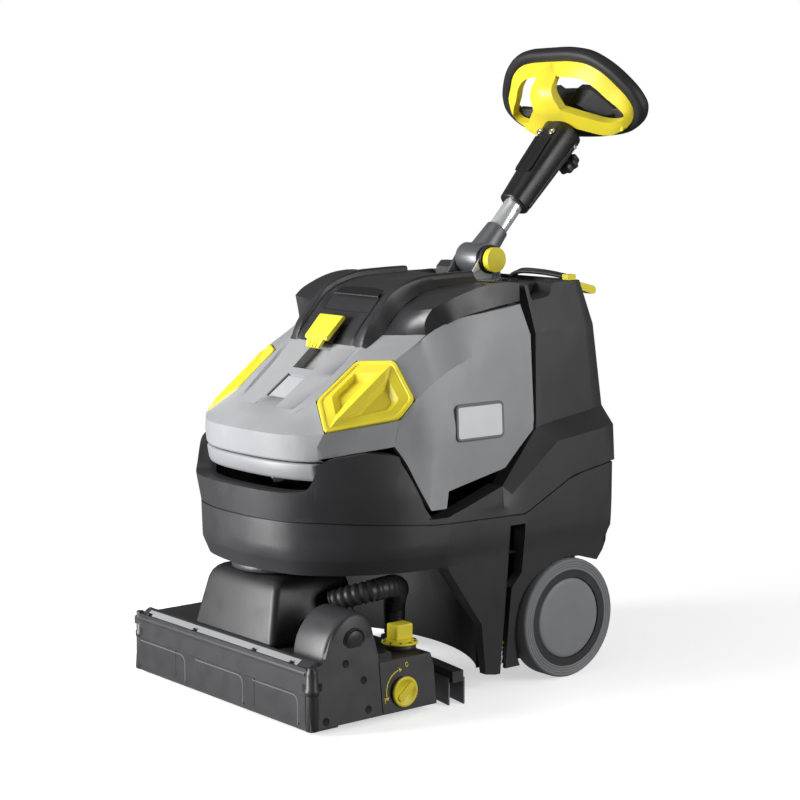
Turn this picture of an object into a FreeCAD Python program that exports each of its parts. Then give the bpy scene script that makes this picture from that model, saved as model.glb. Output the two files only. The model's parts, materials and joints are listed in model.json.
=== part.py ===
import FreeCAD, Part
import math
import os
from FreeCAD import Placement, Rotation, Vector

# Compact walk-behind roller scrubber-drier.
# Millimetres, +Z up. The front of the machine faces -Y and its left side is +X.
# Every station along Y is written from the datum plane of the chassis drawing, and
# place() moves it so that the origin is on the floor under the middle of the machine.

doc = FreeCAD.newDocument("floor_scrubber")
sheet = doc.addObject("Spreadsheet::Sheet", "dims")

DIMENSIONS = {
    "middle_y": 22.85,             # datum plane to the middle of the overall length
    "wheel_radius": 100.0,
    "wheel_width": 40.0,
    "wheel_outer_x": 237.0,
    "tyre_inner_radius": 81.0,
    "cap_radius": 67.0,
    "axle_y": 157.0,
    "axle_z": 100.0,
    "axle_radius": 10.0,
    "running_gap": 0.05,
    "arch_radius": 106.0,
    "wall": 5.0,
    "rear_corner": 12.0,          # cut corners of the black shells' rear
    "bay_rear_y": 105.0,          # front face of the rear column above the bay
    "head_y": -262.0,             # vertical turning axis of the scrub head
    "head_sweep": 318.0,          # radius kept free around that axis
    "head_front_y": -385.0,
    "head_half_low": 245.0,
    "head_half_top": 234.0,
    "brush_y": -278.0,
    "brush_z": 50.0,
    "brush_radius": 50.0,
    "brush_core_radius": 30.0,
    "brush_half": 205.0,
    "motor_y": -290.0,
    "motor_z": 137.0,
    "motor_radius": 31.0,
    "pulley_radius": 17.0,
    "squeegee_half": 250.0,
    "squeegee_end_y": -84.0,
    "squeegee_sag": 24.0,
    "pivot_y": 159.0,
    "pivot_z": 685.0,
    "pivot_pin_radius": 6.0,
    "column_tilt": 47.0,          # column angle above the floor, leaning back
    "tube_radius": 15.0,
    "sleeve_radius": 25.0,
    "sleeve_low": 122.0,          # distances along the column from its pivot
    "sleeve_high": 294.0,
    "tube_low": 32.0,
    "tube_high": 236.0,
    "socket_high": 66.0,
    "rim_y": 388.0,
    "rim_z": 953.0,
    "rim_tilt": 30.0,             # elevation of the normal of the steering wheel's plane
    "rim_grip": 24.0,
    "lid_hinge_y": 68.0,
    "lid_hinge_z": 668.0,
    "hose_radius": 4.5,
}

for row, (alias, value) in enumerate(DIMENSIONS.items(), start=1):
    sheet.set("A%d" % row, alias)
    sheet.set("B%d" % row, str(value))
    sheet.setAlias("B%d" % row, alias)
doc.recompute()

X = Vector(1, 0, 0)
Y = Vector(0, 1, 0)
Z = Vector(0, 0, 1)

nodes = []


def dim(alias):
    return float(sheet.get(alias))


def place(x, y, z):
    """A point from its drawing stations."""
    return Vector(x, y - dim("middle_y"), z)


def keep(name, shape):
    """Adds a finished sub-part whose shape is worked out from the sheet."""
    obj = doc.addObject("Part::Feature", name)
    obj.Label = name
    obj.Shape = shape
    obj.Placement = Placement()
    nodes.append(obj)
    return obj


def block(x_low, x_high, y_low, y_high, z_low, z_high):
    return Part.makeBox(x_high - x_low, y_high - y_low, z_high - z_low, place(x_low, y_low, z_low))


def slab_x(outline, x_low, x_high):
    """Extrudes an outline of (y, z) stations along X."""
    points = [place(x_low, y, z) for y, z in outline]
    face = Part.Face(Part.makePolygon(points + points[:1]))
    return face.extrude(X * (x_high - x_low))


def slab_y(outline, y_low, y_high):
    """Extrudes an outline of (x, z) stations along Y."""
    points = [place(x, y_low, z) for x, z in outline]
    face = Part.Face(Part.makePolygon(points + points[:1]))
    return face.extrude(Y * (y_high - y_low))


def slab_z(outline, z_low, z_high):
    """Extrudes an outline of (x, y) stations along Z."""
    points = [place(x, y, z_low) for x, y in outline]
    face = Part.Face(Part.makePolygon(points + points[:1]))
    return face.extrude(Z * (z_high - z_low))


def disc(x, y, z, direction, radius, length):
    """A cylinder from a point along a direction."""
    return Part.makeCylinder(radius, length, place(x, y, z), direction)


def loft(sections):
    """A ruled solid through closed wires."""
    return Part.makeLoft(sections, True, True)


def plan_wire(z, front, rear_y):
    """Closed plan outline: a smooth bow, straight flanks and a rear with cut corners."""
    corner = dim("rear_corner")
    left = [place(x, y, z) for x, y in front]
    right = [place(-x, y, z) for x, y in reversed(front[1:])]
    bow = Part.BSplineCurve()
    bow.interpolate(right + left)
    flank_x = front[-1][0]
    corners = [
        (flank_x, rear_y - corner),
        (flank_x - corner, rear_y),
        (corner - flank_x, rear_y),
        (-flank_x, rear_y - corner),
    ]
    chain = [left[-1]] + [place(x, y, z) for x, y in corners] + [right[0]]
    edges = [bow.toShape()]
    for start, end in zip(chain, chain[1:]):
        edges.append(Part.LineSegment(start, end).toShape())
    return Part.Wire(edges)


def mirrored(shape):
    return shape.mirror(Vector(0, 0, 0), X)


def both(shape):
    """The left piece and its right-hand twin, as separate solids."""
    return Part.makeCompound([shape, mirrored(shape)])


def primitive(kind, name, sizes, base, axis=Z):
    """A Part primitive whose sizes follow the sheet."""
    obj = doc.addObject("Part::" + kind, name)
    for size, expression in sizes.items():
        obj.setExpression(size, expression)
    obj.Placement = Placement(base, Rotation(Z, axis))
    return obj


def boolean(kind, name, base, tool):
    obj = doc.addObject("Part::" + kind, name)
    obj.Base = base
    obj.Tool = tool
    obj.Label = name
    return obj


def column_point(distance, drop=0.0, x=0.0):
    """A point along the column from its pivot; drop is measured square to it, down towards the floor."""
    tilt = math.radians(dim("column_tilt"))
    along_y, along_z = math.cos(tilt), math.sin(tilt)
    y = dim("pivot_y") + distance * along_y + drop * along_z
    z = dim("pivot_z") + distance * along_z - drop * along_y
    return place(x, y, z)


COLUMN = Vector(0, math.cos(math.radians(dim("column_tilt"))), math.sin(math.radians(dim("column_tilt"))))
UNDER = Vector(0, COLUMN.z, -COLUMN.y)

# ---------------------------------------------------------------- outer form

# Bow stations (x, y) of the black shells at each height, with the rear face behind them.
BLACK_FORM = [
    (219.0, [(0, -338), (60, -334), (122, -316), (170, -270), (204, -203), (222, -120)], 249.0),
    (245.0, [(0, -349), (62, -345), (126, -326), (178, -279), (219, -202), (235, -110)], 257.0),
    (305.0, [(0, -352), (62, -348), (128, -327), (182, -276), (221, -199), (237, -108)], 260.0),
    (350.0, [(0, -357), (70, -353), (132, -334), (186, -282), (222, -203), (237, -108)], 262.0),
    (402.0, [(0, -350), (70, -346), (134, -327), (188, -272), (221, -196), (236, -108)], 262.0),
    (444.0, [(0, -330), (70, -326), (130, -308), (180, -255), (200, -188), (206, -108)], 266.0),
    (583.0, [(0, -300), (70, -296), (130, -278), (180, -225), (198, -158), (205, -100)], 243.0),
    (656.0, [(0, -270), (60, -266), (112, -248), (160, -195), (180, -128), (190, -80)], 225.0),
]

# The same for the grey recovery tank, from its front lip to its crown.
GREY_FORM = [
    (366.0, [(0, -328), (66, -324), (124, -306), (172, -262), (212, -190), (229, -100)], 180.0),
    (395.0, [(0, -335), (70, -329), (138, -306), (186, -255), (217, -185), (229, -100)], 180.0),
    (438.0, [(0, -341), (84, -334), (150, -297), (192, -240), (218, -172), (229, -95)], 180.0),
    (488.0, [(0, -270), (60, -268), (106, -262), (162, -214), (208, -156), (226, -90)], 180.0),
    (545.0, [(0, -194), (60, -192), (107, -187), (162, -155), (199, -105), (219, -50)], 180.0),
    (590.0, [(0, -146), (58, -144), (106, -137), (156, -110), (191, -65), (212, -10)], 180.0),
    (640.0, [(0, -90), (56, -88), (104, -80), (150, -50), (184, -5), (202, 45)], 180.0),
]

# Joint line between the lower shell and the tank above it, as (y, z).
SHELL_SEAM = [(-420, 305), (-300, 304), (-190, 297), (-136, 292), (57, 288), (164, 340), (300, 362)]
# Lower edge of the grey tank's flank, then its rear edge.
TANK_EDGE = [
    (-420, 404), (-200, 417), (-136, 314), (-105, 314), (-101, 341),
    (19, 367), (79, 423), (85, 575), (86, 700),
]
# Lower edge of the bay in the black casing, up to the foot of the rear column.
BAY_EDGE = [(-420, 404), (-207, 412), (-140, 301), (-108, 301), (10, 337), (105, 418), (106, 700)]
# Joint line between the grey tank and its lid.
LID_LINE = [(-420, 553), (-185, 553), (-139, 590), (17, 621), (90, 636)]

SEAM_GAP = 1.0
FAR = 420.0


def above(line, gap):
    """Everything above a (y, z) line, moved up by a gap."""
    lifted = [(y, z + gap) for y, z in line]
    return slab_x(lifted + [(lifted[-1][0], 900), (lifted[0][0], 900)], -FAR, FAR)


def below(line, gap):
    lowered = [(y, z - gap) for y, z in line]
    return slab_x(lowered + [(lowered[-1][0], -50), (lowered[0][0], -50)], -FAR, FAR)


def form(table):
    return loft([plan_wire(z, front, rear) for z, front, rear in table])


def shrunk(table, wall):
    """The same form one wall thickness further in."""
    inner = []
    for z, front, rear in table:
        flank = front[-1][0]
        inset = [(x * (flank - wall) / flank, y + wall) for x, y in front]
        inner.append((z, inset, rear - wall))
    return inner


black_form = form(BLACK_FORM)
black_hollow = form(shrunk(BLACK_FORM, dim("wall")))
grey_form = form(GREY_FORM)
grey_hollow = form(shrunk(GREY_FORM, 2.0 * dim("wall")))

head_clearance = disc(0, dim("head_y"), -5, Z, dim("head_sweep"), 219.0)


def make_lower_shell():
    """Lower casing: a tub with a flat floor, and below it the bulkhead box and the two skirts."""
    tub = black_form.common(below(SHELL_SEAM, SEAM_GAP))
    hollow = black_hollow.common(block(-FAR, FAR, -FAR, FAR, 224, 500))
    tub = tub.cut(hollow)
    box_side = [(-30, 220), (-30, 34), (165, 34), (205, 90), (212, 190), (234, 190), (240, 220)]
    lower_box = slab_x(box_side, -193, 193)
    box_hollow = slab_x([(-18, 232), (-18, 40), (162, 40), (199, 92), (206, 196), (206, 232)], -187, 187)
    skirt_side = [(-103, 222), (-24, 114), (-8, 27), (14, 23), (24, 27), (24, 222)]
    skirt = slab_x(skirt_side, 193, 228)
    skirt_cut = slab_y([(200, 0), (209, 0), (209, 214), (200, 214)], -120, 14)
    skirt = skirt.cut(skirt_cut)
    outer_taper = slab_y([(214, 20), (231, 240), (260, 240), (260, 20)], -140, 100)
    post = slab_x([(35, 222), (35, 30), (66, 30), (90, 222)], 193, 228)
    skirt = skirt.fuse(post).cut(outer_taper)
    body = tub.fuse([lower_box, skirt, mirrored(skirt)])
    body = body.cut(box_hollow)
    body = body.cut(head_clearance)
    bulkhead = disc(0, dim("head_y"), 34, Z, dim("head_sweep") + 5.0, 190.0).cut(head_clearance)
    body = body.fuse(bulkhead.common(block(-193, 193, -30, 190, 34, 224)))
    hose_slot = slab_x([(24, -5), (24, 272), (57, 272), (57, 190), (37, 166), (35, 30), (35, -5)], 198, 260)
    hose_slot = hose_slot.fuse(block(198, 210, 24, 46, -5, 272))
    wheel_arch = disc(196, dim("axle_y"), dim("axle_z"), X, dim("arch_radius"), 70.0)
    wheel_arch = wheel_arch.common(block(-FAR, FAR, 24, 320, -60, 231))
    for tool in (hose_slot, wheel_arch):
        body = body.cut(tool)
        body = body.cut(mirrored(tool))
    # the slot gets its own inner wall and roof
    slot_lining = block(193, 198, 19, 64, 200, 277)
    body = body.fuse([slot_lining, mirrored(slot_lining)])
    shaft_hole = disc(0, dim("head_y"), 200, Z, 47.0, 60.0)
    axle_hole = disc(-200, dim("axle_y"), dim("axle_z"), X, dim("axle_radius") + 2.0, 400.0)
    body = body.cut(shaft_hole.fuse(axle_hole))
    return body.removeSplitter()


def make_fresh_water_tank():
    """Upper casing with the rear column: the fresh water tank, with the bay that the grey tank sits in."""
    tank = black_form.common(above(SHELL_SEAM, SEAM_GAP))
    rear = dim("bay_rear_y")
    bay_side = [(-FAR, 0), (rear, 0), (rear, 575), (rear - 12, 652), (rear - 12, 900), (-FAR, 900)]
    bay = above(BAY_EDGE, 0.0).common(slab_x(bay_side, -FAR, FAR))
    tank = tank.cut(bay)
    nose_bay = block(-152, 152, -FAR, -200, 350, 500)
    tank = tank.cut(nose_bay)
    well = black_hollow.common(block(-FAR, FAR, -330, rear - 7, 224, 500))
    tank = tank.cut(well)
    column_hollow = black_hollow.common(above(SHELL_SEAM, 6.0))
    column_hollow = column_hollow.common(block(-FAR, FAR, rear + 6, 300, 200, 640))
    handle_notch = slab_x([(99, 700), (99, 656), (104, 628), (146, 634), (158, 656), (158, 700)], 150, FAR)
    notch_floor = block(144, FAR, 90, 166, 600, 700)
    for tool in (notch_floor, mirrored(notch_floor)):
        column_hollow = column_hollow.cut(tool)
    tank = tank.cut(column_hollow)
    tank = tank.cut(handle_notch).cut(mirrored(handle_notch))
    deck_trough = block(-140, 140, 99, 196, 648, 700)
    tank = tank.cut(deck_trough)
    return tank.removeSplitter()


def make_recovery_tank():
    """Grey dirty water tank, open at the top under the lid."""
    flank = above(TANK_EDGE, 0.0)
    nose = block(-148, 148, -FAR, -190, 366, 700)
    tank = grey_form.common(flank.fuse(nose)).common(below(LID_LINE, 0.5))
    rear_cut = slab_x([(82, 300), (82, 423), (85, 575), (70, 640), (300, 640), (300, 300)], -FAR, FAR)
    tank = tank.cut(rear_cut)
    floor_line = [(-420, 410), (-200, 426), (-136, 346), (-101, 348), (13, 372), (72, 430), (80, 446)]
    hollow = grey_hollow.common(above(floor_line, 0.0)).common(block(-FAR, FAR, -FAR, 76, 300, 700))
    tank = tank.cut(hollow)
    rim = grey_form.common(slab_x(offset_band(LID_LINE, -0.5, -8.0), -FAR, FAR))
    mouth = slab_z([(-90, -110), (90, -110), (150, -40), (160, 56), (-160, 56), (-150, -40)], 500, 700)
    rim = rim.cut(mouth).cut(rear_cut)
    tank = tank.fuse(rim)
    for side in (1, -1):
        tank = tank.cut(cap_seat(side, 1.0))
    latch_pocket = block(-27, 27, -214, -168, 530, 590)
    badge_side = [(-306, 459), (-267, 482), (-227, 511), (-200, 534), (-200, 640), (-306, 640)]
    badge_recess = slab_x(badge_side, -60, 60)
    tank = tank.cut(latch_pocket.fuse(badge_recess))
    for side_plate in make_side_plates().Solids:
        tank = tank.cut(side_plate)
    return tank.removeSplitter()


def make_side_plates():
    """Blank rating plates, one let into each flank of the grey tank."""
    outline = [(-87, 476), (14, 470), (14, 416), (-87, 421)]
    return both(slab_x(outline, 224.5, 229.5))


def make_badge_plate():
    return slab_x([(-267, 482), (-227, 511), (-228.5, 513.5), (-268.5, 484.5)], -24, 24)


def offset_band(line, top, bottom):
    """A thin closed (y, z) band that follows a line."""
    upper = [(y, z + top) for y, z in line]
    lower = [(y, z + bottom) for y, z in reversed(line)]
    return upper + lower


# Corners of the hexagonal caps on the shoulders of the grey tank.
CAP_CORNERS = [
    (160, -294, 442), (205, -180, 458), (212, -154, 488),
    (165, -157, 547), (107, -189, 543), (105, -268, 485),
]
CAP_OUT = Vector(0.70, -0.42, 0.58)


def cap_prism(side, grow, inward, outward):
    """A hexagonal prism through the cap's corners, along the direction in which the cap pulls out."""
    out = Vector(CAP_OUT)
    out.normalize()
    centre = Vector(0, 0, 0)
    corners = [place(x, y, z) for x, y, z in CAP_CORNERS]
    for corner in corners:
        centre += corner * (1.0 / len(corners))
    points = []
    for corner in corners:
        arm = corner - centre
        arm = arm - out * arm.dot(out)
        points.append(centre + arm * ((arm.Length + grow) / arm.Length) - out * inward)
    face = Part.Face(Part.makePolygon(points + points[:1]))
    prism = face.extrude(out * (inward + outward))
    if side < 0:
        prism = mirrored(prism)
    return prism


def cap_seat(side, gap):
    return cap_prism(side, gap, 24.0, 60.0)


def make_cap(side):
    return cap_prism(side, -0.5, 22.0, 6.0)


# Cross-sections of the lid: y, then half width and height of the skirt, of the shoulder and of the crown.
LID_STATIONS = [
    (-170.0, (98, 566), (97, 574), (92, 582)),
    (-148.0, (138, 584), (136, 594), (92, 606)),
    (-110.0, (166, 596), (160, 612), (94, 640)),
    (-50.0, (190, 608), (178, 632), (94, 664)),
    (10.0, (204, 620), (188, 646), (92, 672)),
    (66.0, (208, 631), (190, 656), (90, 675)),
]


def make_lid(inset=0.0):
    sections = []
    for y, skirt, shoulder, crown in LID_STATIONS:
        half = [(x - inset, z - inset) for x, z in (skirt, shoulder, crown)]
        half[0] = (skirt[0] - inset, skirt[1] + 0.5 - 2.0 * inset)
        right = [(-x, z) for x, z in reversed(half)]
        points = [place(x, y, z) for x, z in half + right]
        sections.append(Part.makePolygon(points + points[:1]))
    return loft(sections)


def make_tank_lid():
    """Lid shell with a raised middle, two side rails and a dished panel."""
    lid = make_lid().cut(make_lid(4.0))
    inner = make_lid(4.0).common(block(-FAR, FAR, -164, 62, 500, 700))
    lid = make_lid().cut(inner).cut(below(LID_LINE, -0.5))
    rail_low = [(-166, 580), (-110, 640), (-50, 664), (10, 672), (66, 675)]
    rail_high = [(66, 679), (8, 677), (-52, 670), (-114, 646)]
    rails = slab_x(rail_low + rail_high, 88, 98)
    lid = lid.fuse([rails, mirrored(rails)])
    latch_side = [(-144, 606), (-168, 581), (-174, 562), (-200, 556), (-200, 640), (-144, 640)]
    latch_room = slab_x(latch_side, -31, 31)
    lid = lid.cut(latch_room)
    return lid.removeSplitter()


def make_lid_seal():
    outer = [(-94, -116), (94, -116), (156, -42), (166, 60), (-166, 60), (-156, -42)]
    inner = [(-90, -110), (90, -110), (151, -40), (161, 55), (-161, 55), (-151, -40)]
    ring = slab_z(outer, 500, 700).cut(slab_z(inner, 490, 710))
    band = slab_x(offset_band(LID_LINE, 6.5, 1.0), -FAR, FAR)
    return ring.common(band)


def make_lid_latch():
    """Over-centre latch: a plate on the lid's front edge with a ribbed tab in front of the tank's pocket."""
    plate = slab_x([(-148, 604), (-182, 570), (-186, 574), (-152, 609)], -29, 29)
    tab = slab_x([(-182, 570), (-186, 574), (-196, 557), (-192, 554)], -19, 19)
    hook = slab_x([(-178, 574), (-171, 569), (-173, 563), (-183, 569)], -14, 14)
    latch = plate.fuse([tab, hook])
    for x in (-8, 0, 8):
        rib = slab_x([(-186, 573), (-195, 558), (-198, 559), (-189, 574)], x - 1.5, x + 1.5)
        latch = latch.fuse(rib)
    return latch


# ---------------------------------------------------------------- wheels

def make_wheels():
    """Tyre, hub and blank hub cap for each side; the primitives follow the sheet."""
    inner_x = dim("wheel_outer_x") - dim("wheel_width")
    for side, word in ((1, "left"), (-1, "right")):
        start = place(side * inner_x, dim("axle_y"), dim("axle_z"))
        out = X * side
        blank = primitive("Cylinder", "tyre_blank_" + word, {
            "Radius": "dims.wheel_radius", "Height": "dims.wheel_width"}, start, out)
        bevelled = doc.addObject("Part::Chamfer", "tyre_bevelled_" + word)
        bevelled.Base = blank
        bevelled.Edges = [(1, 3.0, 3.0), (3, 3.0, 3.0)]
        opening = primitive("Cylinder", "tyre_opening_" + word, {
            "Radius": "dims.tyre_inner_radius", "Height": "dims.wheel_width"}, start, out)
        nodes.append(boolean("Cut", "tyre_" + word, bevelled, opening))

        disc_blank = primitive("Cylinder", "hub_blank_" + word, {
            "Radius": "dims.tyre_inner_radius", "Height": "dims.wheel_width - 2"}, start + out, out)
        hub_bore = primitive("Cylinder", "hub_bore_" + word, {
            "Radius": "dims.axle_radius + dims.running_gap",
            "Height": "dims.wheel_width - 8"}, start + out, out)
        cap_seat_disc = primitive("Cylinder", "hub_cap_seat_" + word, {
            "Radius": "dims.cap_radius + 1", "Height": "4"}, start + out * (dim("wheel_width") - 5.0), out)
        rough = boolean("Cut", "hub_rough_" + word, disc_blank, hub_bore)
        nodes.append(boolean("Cut", "wheel_hub_" + word, rough, cap_seat_disc))
        nodes.append(primitive("Cylinder", "hub_cap_" + word, {
            "Radius": "dims.cap_radius", "Height": "4.5"}, start + out * (dim("wheel_width") - 5.0), out))


def make_axle():
    half = dim("wheel_outer_x") - 8.0
    nodes.append(primitive("Cylinder", "axle", {
        "Radius": "dims.axle_radius", "Height": "2 * (dims.wheel_outer_x - 8)"},
        place(-half, dim("axle_y"), dim("axle_z")), X))


def make_chassis_frame():
    """Two bored side plates with cross members that carry the axle."""
    rail = slab_x([(78, 60), (166, 60), (182, 84), (182, 140), (78, 140)], 150, 158)
    rail = rail.cut(disc(140, dim("axle_y"), dim("axle_z"), X, dim("axle_radius"), 30))
    frame = rail.fuse(mirrored(rail))
    for y in (84, 174):
        frame = frame.fuse(block(-152, 152, y - 8, y + 8, 124, 140))
    return frame


# ---------------------------------------------------------------- column

def make_column_bracket():
    """Silver foot with two cheeks around the fold pivot."""
    foot = block(-46, 46, 102, 192, 648, 652)
    cheek = slab_x([(106, 650), (186, 650), (180, 688), (168, 703), (150, 703), (136, 690)], 27.5, 32.5)
    bracket = foot.fuse([cheek, mirrored(cheek)])
    return bracket.cut(disc(-60, dim("pivot_y"), dim("pivot_z"), X, dim("pivot_pin_radius"), 120))


def make_column_socket():
    barrel = disc(-27, dim("pivot_y"), dim("pivot_z"), X, 27.0, 54.0)
    neck = Part.makeCone(25.0, 20.0, dim("socket_high"), column_point(0), COLUMN)
    socket = barrel.fuse(neck)
    pin_bore = disc(-40, dim("pivot_y"), dim("pivot_z"), X, dim("pivot_pin_radius") + dim("running_gap"), 80)
    tube_bore = Part.makeCylinder(dim("tube_radius"), 60.0, column_point(dim("tube_low")), COLUMN)
    return socket.cut(pin_bore).cut(tube_bore)


def make_column_tube():
    length = dim("tube_high") - dim("tube_low")
    low = column_point(dim("tube_low"))
    outer = Part.makeCylinder(dim("tube_radius"), length, low, COLUMN)
    return outer.cut(Part.makeCylinder(dim("tube_radius") - 2.0, length, low, COLUMN))


def make_column_sleeve():
    length = dim("sleeve_high") - dim("sleeve_low")
    low = column_point(dim("sleeve_low"))
    sleeve = Part.makeCylinder(dim("sleeve_radius"), length, low, COLUMN)
    bore = Part.makeCylinder(dim("tube_radius") + dim("running_gap"), length - 6.0, low, COLUMN)
    boss = Part.makeCylinder(9.0, 14.0, column_point(262, 20), UNDER)
    boss = boss.cut(Part.makeCylinder(5.05, 16.0, column_point(262, 25), UNDER))
    return sleeve.fuse(boss).cut(bore)


def make_clamp_knob():
    stem = Part.makeCylinder(5.0, 12.0, column_point(262, 26), UNDER)
    head = Part.makeCylinder(15.0, 20.0, column_point(262, 36), UNDER)
    return stem.fuse(head)


def make_pivot_pin():
    return disc(-34, dim("pivot_y"), dim("pivot_z"), X, dim("pivot_pin_radius"), 74)


def make_fold_button():
    """Push cap over the end of the fold pin."""
    cap = disc(38, dim("pivot_y"), dim("pivot_z"), X, 21.0, 12.0)
    return cap.cut(disc(30, dim("pivot_y"), dim("pivot_z"), X, dim("pivot_pin_radius") + 0.08, 17.0))


# ---------------------------------------------------------------- steering wheel

def wheel_point(x, up, out):
    """A point in the steering wheel: across, up its plane, and out of it towards the operator."""
    tilt = math.radians(dim("rim_tilt"))
    y = dim("rim_y") - up * math.sin(tilt) + out * math.cos(tilt)
    z = dim("rim_z") + up * math.cos(tilt) + out * math.sin(tilt)
    return place(x, y, z)


WHEEL_UP = Vector(0, -math.sin(math.radians(dim("rim_tilt"))), math.cos(math.radians(dim("rim_tilt"))))
WHEEL_OUT = Vector(0, math.cos(math.radians(dim("rim_tilt"))), math.sin(math.radians(dim("rim_tilt"))))

# Half of the rim's centre line, from its crown to its foot.
RIM_LINE = [
    (0, 92), (48, 91), (84, 83), (112, 65), (138, 36), (153, 9),
    (156, -9), (147, -26), (122, -43), (60, -55), (0, -57),
]


def rim_outline(grow, out):
    """Closed smooth outline, the centre line moved outwards by an amount."""
    half = []
    for x, up in RIM_LINE:
        arm = Vector(x, up - 10.0, 0)
        arm = arm * ((arm.Length + grow) / arm.Length)
        half.append((arm.x, arm.y + 10.0))
    left = [(-x, up) for x, up in reversed(half[1:-1])]
    curve = Part.BSplineCurve()
    curve.interpolate(Points=[wheel_point(x, up, out) for x, up in half + left], PeriodicFlag=True)
    return Part.Wire(curve.toShape())


def wheel_plate(outline, low, high):
    """A plate through straight-sided wheel stations, between two depths."""
    points = [wheel_point(x, up, low) for x, up in outline]
    face = Part.Face(Part.makePolygon(points + points[:1]))
    return face.extrude(WHEEL_OUT * (high - low))


def rim_plate(grow, low, high):
    return Part.Face(rim_outline(grow, low)).extrude(WHEEL_OUT * (high - low))


def column_top_room():
    """The space around the top of the sleeve that the wheel turns about."""
    low = column_point(dim("sleeve_high") - 99.0)
    return Part.makeCylinder(dim("sleeve_radius") + 1.0, 100.0, low, COLUMN)


def make_steering_rim():
    grip = dim("rim_grip") / 2.0
    ring = rim_plate(grip, -grip, grip).cut(rim_plate(-grip, -grip - 1.0, grip + 1.0))
    return ring.cut(column_top_room()).cut(steering_collar(0.3))


WINDOW = [(24, 62), (45, 65), (72, 57), (91, 43), (112, 17), (130, -4), (127, -26), (102, -29), (40, -14), (24, 0)]
SPOKE = [(-21, -24), (21, -24), (21, 70), (-21, 70)]


def make_steering_shell():
    """Bowl inside the rim with a window on each side of a deep middle spoke and a seat for the column."""
    shell = rim_plate(-12.3, -30.0, -14.5)
    below_column_top = Part.makeCylinder(300.0, 200.0, column_point(dim("sleeve_high") - 206.0), COLUMN)
    shell = shell.fuse(wheel_plate(SPOKE, -64, -20)).cut(below_column_top)
    window = wheel_plate(WINDOW, -60, 0)
    shell = shell.cut(window).cut(mirrored(window))
    return shell.cut(column_top_room()).cut(steering_collar(0.3))


def steering_collar(grow):
    low = column_point(dim("sleeve_high") + 1.0)
    return Part.makeCylinder(dim("sleeve_radius") - 1.0 + grow, 34.0, low, COLUMN)


HUB = [(0, 26), (14, 32), (24, 18), (46, 20), (66, 18), (104, -22), (92, -38), (50, -42), (0, -42)]
LEVER = [(50, 0), (100, -6), (116, 2), (112, 12), (50, 14)]
BUTTON_UP = -8.0


def make_steering_hub():
    body = wheel_plate(HUB + [(-x, up) for x, up in reversed(HUB[1:-1])], -12, 14)
    spokes = wheel_plate([(-132, -24), (132, -24), (132, -12), (-132, -12)], -13, -3)
    hub = body.fuse([steering_collar(0.0), spokes])
    hub = hub.cut(column_top_room())
    button_pocket = Part.makeCylinder(9.3, 20.0, wheel_point(0, BUTTON_UP, 6.0), WHEEL_OUT)
    return hub.cut(button_pocket)


def make_trigger(side):
    lever = wheel_plate(LEVER, 15, 21)
    return lever if side > 0 else mirrored(lever)


def make_power_button():
    return Part.makeCylinder(9.0, 8.0, wheel_point(0, BUTTON_UP, 9.0), WHEEL_OUT)


# ---------------------------------------------------------------- scrub head

def head_face_x(z):
    """Half width of the head at a height: its ends lean in towards the top."""
    lean = (dim("head_half_low") - dim("head_half_top")) / 90.0
    return dim("head_half_low") - lean * (z - 8.0)


def lean_cut(extra=0.0):
    """Everything outside the leaning end face."""
    low, high = 0.0, 200.0
    face = [(head_face_x(low) + extra, low), (head_face_x(high) + extra, high)]
    return slab_y(face + [(FAR, high), (FAR, low)], -FAR, 0)


def make_head_housing():
    profile = [(-334, 10), (-334, 104), (-220, 104), (-217, 91), (-143, 91), (-138, 70), (-138, 10)]
    housing = slab_x(profile, -232, 232)
    inside = [(-332, 0), (-332, 100), (-224, 100), (-224, 87), (-147, 87), (-142, 68), (-142, 0)]
    housing = housing.cut(slab_x(inside, -228, 228))
    end_side = [(-246, 10), (-246, 91), (-143, 91), (-138, 70), (-138, 10)]
    end_panel = slab_x(end_side, 232, 246).cut(lean_cut())
    housing = housing.fuse([end_panel, mirrored(end_panel)])
    belt_slot = block(208, 227, -318, -255, 96, 108)
    shaft_hole = disc(-240, dim("brush_y"), dim("brush_z"), X, 8.5, 480)
    housing = housing.cut(belt_slot).cut(shaft_hole)
    arm = block(-70, 70, -144, -104, 56, 66)
    return housing.fuse(arm)


def make_motor_dome():
    """Cover over the brush motor, carrying the swivel on top."""
    def ring(z, half, front, rear):
        points = [(-half, front), (half, front), (half, rear), (-half, rear)]
        points = [place(x, y, z) for x, y in points]
        return Part.makePolygon(points + points[:1])
    outer = loft([ring(104, 106, -357, -186), ring(188, 92, -338, -194), ring(205, 82, -322, -204)])
    inner = loft([ring(103, 102, -352, -190), ring(186, 88, -334, -198), ring(201, 78, -318, -208)])
    dome = outer.cut(inner)
    dome = dome.cut(block(-120, 120, -370, -334.2, 90, 104.5))
    return dome.cut(disc(60, dim("motor_y"), dim("motor_z"), X, 9.0, 80))


def make_swivel_hub():
    hub = disc(0, dim("head_y"), 205, Z, 44.0, 34.0)
    flange = disc(0, dim("head_y"), 228, Z, 58.0, 6.0)
    bore = disc(0, dim("head_y"), 204, Z, 30.0, 40.0)
    return hub.fuse(flange).cut(bore)


def make_turntable_ring():
    ring = disc(0, dim("head_y"), 210, Z, 78.0, 9.0)
    return ring.cut(disc(0, dim("head_y"), 205, Z, 44.0 + dim("running_gap"), 20))


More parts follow.
